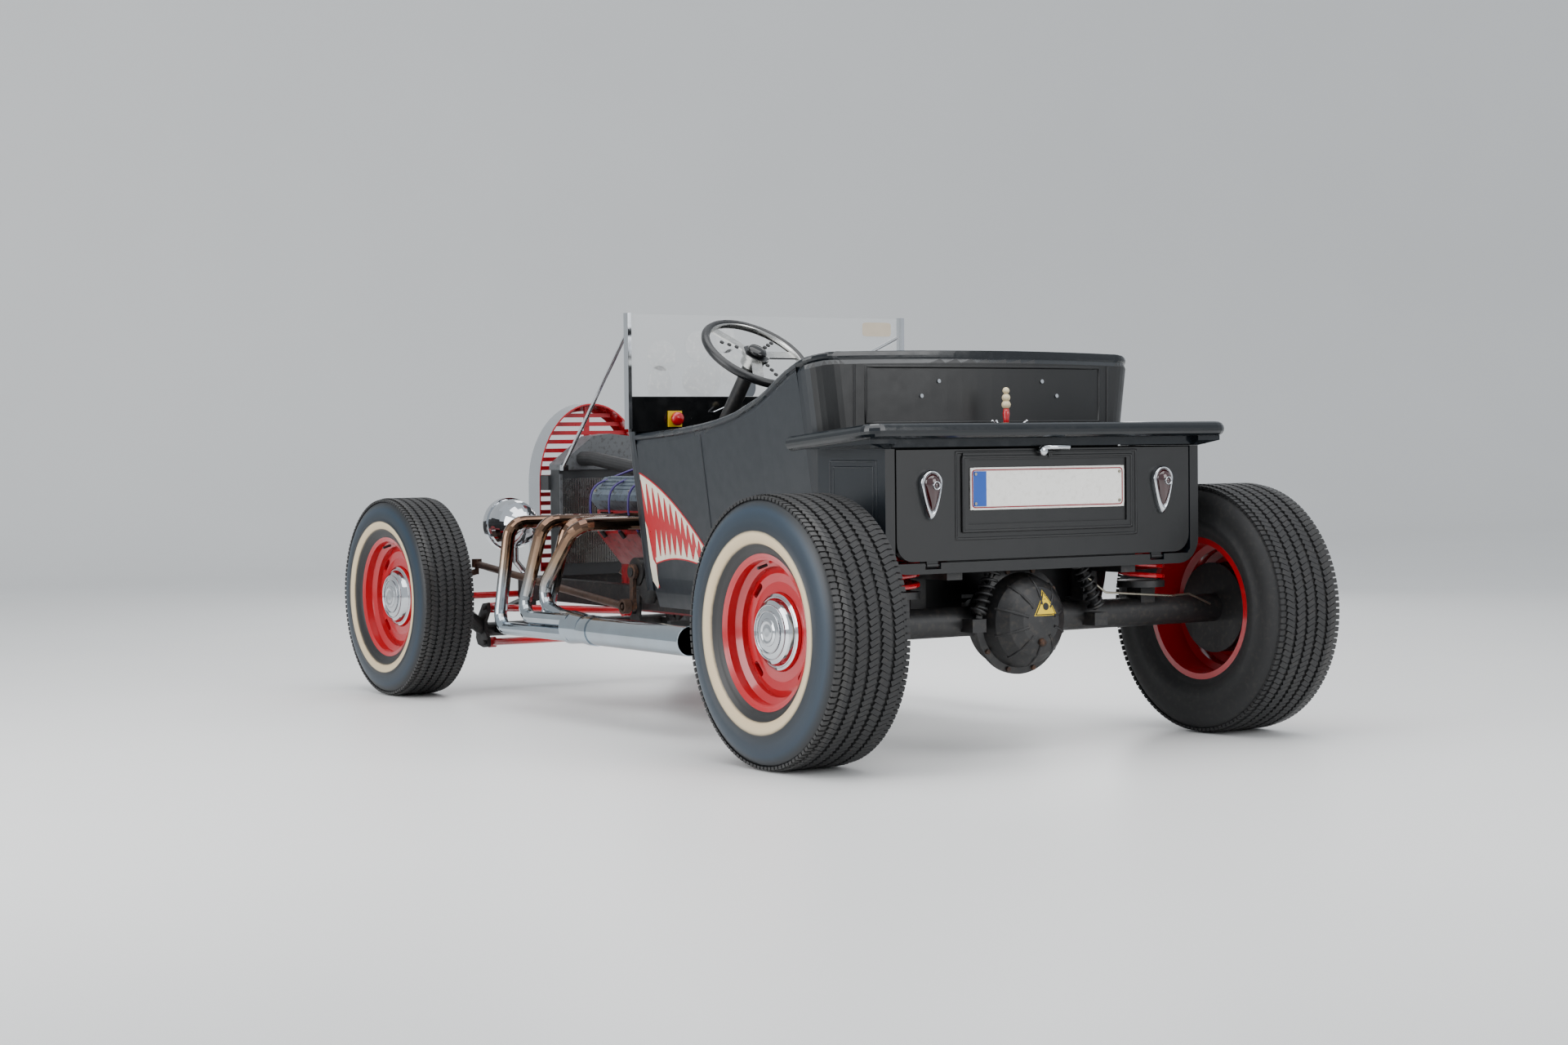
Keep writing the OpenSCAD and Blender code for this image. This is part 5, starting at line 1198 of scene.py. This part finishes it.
class ROADSTER_OT_axle_details(bpy.types.Operator):
    """Add the differential's bolts, ribs, plug and label, and the coil-over springs and dampers"""
    bl_idname = "roadster.axle_details"
    bl_label = "Add axle details"

    def execute(self, context):
        centre = Vector((COVER_X, AXLE_Y + COVER_OUT, AXLE_Z))
        spots = [(centre + Vector((0.1370 * math.cos(a), 0.004, 0.1370 * math.sin(a))), (0, 1, 0))
                 for a in [2 * math.pi * k / 10 for k in range(10)]]
        bolts = studs("cover_bolts", spots, 0.0068, 0.009, "rust", 6)
        ribs = [tube("rib", [cast("rear_axle", centre + Vector((r * math.cos(a), 0.4, r * math.sin(a))), (0, -1, 0))
                             for r in (0.045, 0.065, 0.085, 0.105, 0.118)], 0.004, "chassis", sides=8)
                for a in [2 * math.pi * (k + 0.5) / 10 for k in range(10)]]
        plug = lathe("plug", [(0.0, 0.010), (0.010, 0.010), (0.012, 0.0), (0.0, 0.0)],
                     cast("rear_axle", centre + Vector((0, 0.4, -0.055)), (0, -1, 0)), (0, 1, -0.2), "rust", 6)
        deliver(join("differential_cover_bolts", [bolts, plug] + ribs), "chassis", "black_chassis_paint")
        self.label(centre)
        self.coils()
        return {"FINISHED"}

    def label(self, centre):
        """A plain warning triangle with a black border and a round dot, and no text."""
        pieces = []
        for scale, lift, material in ((0.75, 0.0010, "yellow"), (0.69, 0.0016, "black"), (0.60, 0.0022, "yellow")):
            corners = [(-0.052 * scale, -0.030 * scale), (0.052 * scale, -0.030 * scale), (0.0, 0.060 * scale)]
            pieces.append(self.decal(centre, corners, lift, material))
        dot = [(0.010 * math.cos(a), 0.002 + 0.010 * math.sin(a)) for a in [2 * math.pi * k / 20 for k in range(20)]]
        pieces.append(self.decal(centre, dot, 0.0028, "black"))
        deliver(join("differential_label", pieces), "chassis", "black_chassis_paint")

    def decal(self, centre, outline, lift, material):
        made = bmesh.new()
        shift = Vector((-0.012, 0, 0.038))
        loop = [made.verts.new(centre + shift + Vector((x, 0.4, z))) for x, z in outline]
        face = made.faces.new(loop)
        bmesh.ops.triangulate(made, faces=[face])
        bmesh.ops.subdivide_edges(made, edges=made.edges[:], cuts=5, use_grid_fill=True)
        bmesh.ops.triangulate(made, faces=made.faces)
        for v in made.verts:
            spot = cast("rear_axle", v.co, (0, -1, 0), lift)
            if spot:
                v.co = spot
        mesh = bpy.data.meshes.new("decal")
        made.to_mesh(mesh)
        made.free()
        mesh.materials.append(FINISH[material])
        piece = bpy.data.objects.new("decal", mesh)
        bpy.context.scene.collection.objects.link(piece)
        return piece

    def coils(self):
        """Each coil-over as a damper body under an open helical spring."""
        points = [v.co for v in NODES["rear_shocks"].data.vertices if v.co.x > 0]
        foot = Vector((COIL_FOOT_X, AXLE_Y + COIL_BACK, AXLE_Z + COIL_FOOT_UP))
        head = Vector((COIL_HEAD_X, AXLE_Y + COIL_BACK, max(p.z for p in points) + 0.006))
        pieces = []
        for side in (-1, 1):
            a, b = Vector((foot.x * side, foot.y, foot.z)), Vector((head.x * side, head.y, head.z))
            axis = (b - a).normalized()
            length = (b - a).length
            one = axis.orthogonal().normalized()
            two = axis.cross(one)
            turns = 5.5
            helix = []
            for k in range(int(turns * 20) + 1):
                t = k / (turns * 20)
                w = 2 * math.pi * turns * t
                out = (one * math.cos(w) + two * math.sin(w)) * 0.0195
                helix.append(a + axis * (0.024 + (length - 0.050) * t) + out)
            pieces.append(tube("spring", helix, 0.0038, "black", sides=8))
            damper = [(0.0, 0.008), (0.014, 0.008), (0.014, 0.014), (0.024, 0.014), (0.024, 0.019),
                      (0.013, 0.019), (0.013, 0.085), (0.006, 0.087), (0.006, length - 0.022),
                      (0.024, length - 0.022), (0.024, length - 0.015), (0.012, length - 0.014),
                      (0.012, length - 0.008), (0.0, length - 0.008)]
            pieces.append(lathe("damper", damper, a, axis, "chassis", 28))
        deliver(join("rear_coil_overs", pieces), "chassis", "black_chassis_paint", "rear_shocks")


class ROADSTER_OT_nose_details(bpy.types.Operator):
    """Add the lamp rims and the bead round the grille shell's front"""
    bl_idname = "roadster.nose_details"
    bl_label = "Add nose details"

    def execute(self, context):
        low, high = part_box("headlamp_lenses")
        radius = (high.z - low.z) / 2
        pieces = []
        for side in (-1, 1):
            centre = Vector((side * 0.334, high.y, (low.z + high.z) / 2))
            pieces.append(tube("rim", [centre + Vector((radius * math.cos(a), -0.004, radius * math.sin(a)))
                                       for a in [2 * math.pi * k / 64 for k in range(64)]], 0.0045, "chrome",
                               closed=True, sides=10))
        deliver(join("headlamp_rims", pieces), "chassis", "chrome")
        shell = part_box("grille_shell")
        edge = []
        for k in range(49):
            a = math.pi * k / 48
            edge.append((0.2045 * math.cos(a), shell[0].y + 0.001, 0.700 + 0.2695 * math.sin(a)))
        edge = [(0.2045, shell[0].y + 0.001, 0.42)] + edge + [(-0.2045, shell[0].y + 0.001, 0.42)]
        deliver(tube("grille_front_bead", edge, 0.0035, "chrome", sides=10), "chassis", "chrome")
        return {"FINISHED"}


class ROADSTER_OT_ornament(bpy.types.Operator):
    """Stand the small generic ornament on the bed cover"""
    bl_idname = "roadster.ornament"
    bl_label = "Add ornament"

    def execute(self, context):
        base = cast("tonneau_cover", (0.018, 1.199, 1.3), (0, 0, -1)) + Vector((0, 0, -0.004))
        foot = [(0.0, 0.0), (0.016, 0.0), (0.014, 0.008), (0.008, 0.014), (0.008, 0.026), (0.0, 0.028)]
        pieces = [lathe("foot", foot, base, (0, 0, 1), "chrome", 28)]
        for a in (math.radians(20), math.radians(160), math.radians(270)):
            way = Vector((math.cos(a), math.sin(a) * 0.7, 0))
            arm = [base + Vector((0, 0, 0.020)), base + way * 0.030 + Vector((0, 0, 0.016)),
                   base + way * 0.062 + Vector((0, 0, 0.036))]
            pieces.append(tube("prong", arm, 0.0026, "chrome", rounded=0.02))
            pieces.append(lathe("tip", [(0.0, -0.005), (0.005, 0.0), (0.0, 0.005)], arm[2], (0, 0, 1), "chrome", 16))
        pieces.append(lathe("stem", [(0.0, 0.026), (0.009, 0.026), (0.0075, 0.040), (0.010, 0.055), (0.0075, 0.070),
                                     (0.0, 0.072)], base, (0, 0, 1), "red_plastic", 24))
        for k, r in ((0, 0.0125), (1, 0.0115), (2, 0.0095)):
            pieces.append(lathe("bead", [(0.0, -r)] + [(r * math.cos(a), r * math.sin(a)) for a in
                                                       [math.radians(-75 + 15 * i) for i in range(11)]] + [(0.0, r)],
                                base + Vector((0, 0, 0.080 + 0.019 * k)), (0, 0, 1), "cream_knob", 24))
        deliver(join("bed_cover_ornament", pieces), "chassis", "chrome")
        return {"FINISHED"}


class ROADSTER_OT_stage(bpy.types.Operator):
    """Set the pale floor, the soft lights and the camera"""
    bl_idname = "roadster.stage"
    bl_label = "Set the stage"

    def execute(self, context):
        self.floor()
        self.lights()
        self.camera()
        return {"FINISHED"}

    def floor(self):
        """A pale floor that curves up into a pale wall."""
        made = bpy.data.materials.new("matte_studio_floor")
        made.use_nodes = True
        tree = made.node_tree
        shader = tree.nodes["Principled BSDF"]
        place = add(tree, "ShaderNodeTexCoord").outputs["Object"]
        cloud = add(tree, "ShaderNodeTexNoise", {"Vector": place, "Scale": 0.8, "Detail": 3.0}).outputs[0]
        tone = tuple(settings().floor_colour) + (1.0,)
        light = tuple(min(1.0, c * 1.06) for c in settings().floor_colour) + (1.0,)
        colour = add(tree, "ShaderNodeMix", {0: cloud, 6: tone, 7: light}, data_type="RGBA").outputs[2]
        tree.links.new(colour, shader.inputs["Base Color"])
        shader.inputs["Roughness"].default_value = 0.38
        width = 22.0
        profile = [(16.0, 0.0), (-9.0, 0.0)]
        profile += [(-9.0 - 2.5 * math.sin(a), 2.5 - 2.5 * math.cos(a)) for a in
                    [math.radians(7.5 * k) for k in range(1, 13)]] + [(-11.5, 14.0)]
        points = [(x, y, z) for x in (-width, width) for y, z in profile]
        n = len(profile)
        faces = [(j, j + 1, n + j + 1, n + j) for j in range(n - 1)]
        mesh = bpy.data.meshes.new("studio_floor")
        mesh.from_pydata(points, [], faces)
        mesh.materials.append(made)
        for f in mesh.polygons:
            f.use_smooth = True
        floor = bpy.data.objects.new("studio_floor", mesh)
        bpy.context.scene.collection.objects.link(floor)

    def lights(self):
        """A large soft box above, one at the left, one behind and a weak one at the nose."""
        for name, place, aim, size, power in (
                ("overhead", (0.5, 1.0, 4.6), (0, 0.2, 0.4), 5.5, 270),
                ("left_fill", (5.2, 0.5, 2.3), (0.4, 0, 0.6), 3.6, 185),
                ("back_fill", (-1.5, 6.5, 2.6), (0, 0.9, 0.6), 3.2, 150),
                ("nose_fill", (-3.5, -4.5, 2.6), (0, -0.8, 0.6), 3.0, 90)):
            lamp = bpy.data.lights.new(name, "AREA")
            lamp.shape = "SQUARE"
            lamp.size = size
            lamp.energy = power
            holder = bpy.data.objects.new(name, lamp)
            holder.location = place
            holder.rotation_euler = (Vector(aim) - Vector(place)).to_track_quat("-Z", "Y").to_euler()
            bpy.context.scene.collection.objects.link(holder)
        world = bpy.data.worlds.new("pale_studio")
        world.use_nodes = True
        world.node_tree.nodes["Background"].inputs["Color"].default_value = linear("#dfe4ea")
        world.node_tree.nodes["Background"].inputs["Strength"].default_value = 1.0
        bpy.context.scene.world = world

    def camera(self):
        """A low three-quarter view of the tail from the car's left."""
        yaw, pitch, roll = (math.radians(angle) for angle in CAMERA_TURN)
        ahead = Vector((-math.sin(yaw) * math.cos(pitch), -math.cos(yaw) * math.cos(pitch), -math.sin(pitch)))
        right = ahead.cross(Vector((0, 0, 1))).normalized()
        up = right.cross(ahead)
        right, up = (right * math.cos(roll) + up * math.sin(roll), up * math.cos(roll) - right * math.sin(roll))
        lens = bpy.data.cameras.new("tail_view")
        lens.lens = CAMERA_LENS
        lens.sensor_width = 36.0
        lens.clip_end = 60.0
        camera = bpy.data.objects.new("tail_view", lens)
        turn = Matrix((right, up, -ahead)).transposed().to_4x4()
        camera.matrix_world = Matrix.Translation(CAMERA_PLACE) @ turn
        bpy.context.scene.collection.objects.link(camera)
        bpy.context.scene.camera = camera


class ROADSTER_PT_panel(bpy.types.Panel):
    """The roadster's settings and steps"""
    bl_idname = "ROADSTER_PT_panel"
    bl_label = "Street Rod Roadster"
    bl_space_type = "VIEW_3D"
    bl_region_type = "UI"
    bl_category = "Roadster"

    def draw(self, context):
        for name in RoadsterSettings.__annotations__:
            self.layout.prop(context.scene.roadster, name)
        for step in STEPS:
            self.layout.operator(step.bl_idname)


STEPS = (
    ROADSTER_OT_paint_cad, ROADSTER_OT_tyres, ROADSTER_OT_wheel_details, ROADSTER_OT_body_mouldings,
    ROADSTER_OT_painted_mouth, ROADSTER_OT_tail_details, ROADSTER_OT_upholstery, ROADSTER_OT_windshield_details,
    ROADSTER_OT_cockpit_details, ROADSTER_OT_engine_details, ROADSTER_OT_axle_details, ROADSTER_OT_nose_details,
    ROADSTER_OT_ornament, ROADSTER_OT_stage,
)
CLASSES = (RoadsterSettings,) + STEPS + (ROADSTER_PT_panel,)


def register():
    for one in CLASSES:
        bpy.utils.register_class(one)
    bpy.types.Scene.roadster = PointerProperty(type=RoadsterSettings)


def unregister():
    del bpy.types.Scene.roadster
    for one in reversed(CLASSES):
        bpy.utils.unregister_class(one)


def main():
    register()
    for step in STEPS:
        group, call = step.bl_idname.split(".")
        getattr(getattr(bpy.ops, group), call)()


if __name__ == "__main__":
    main()
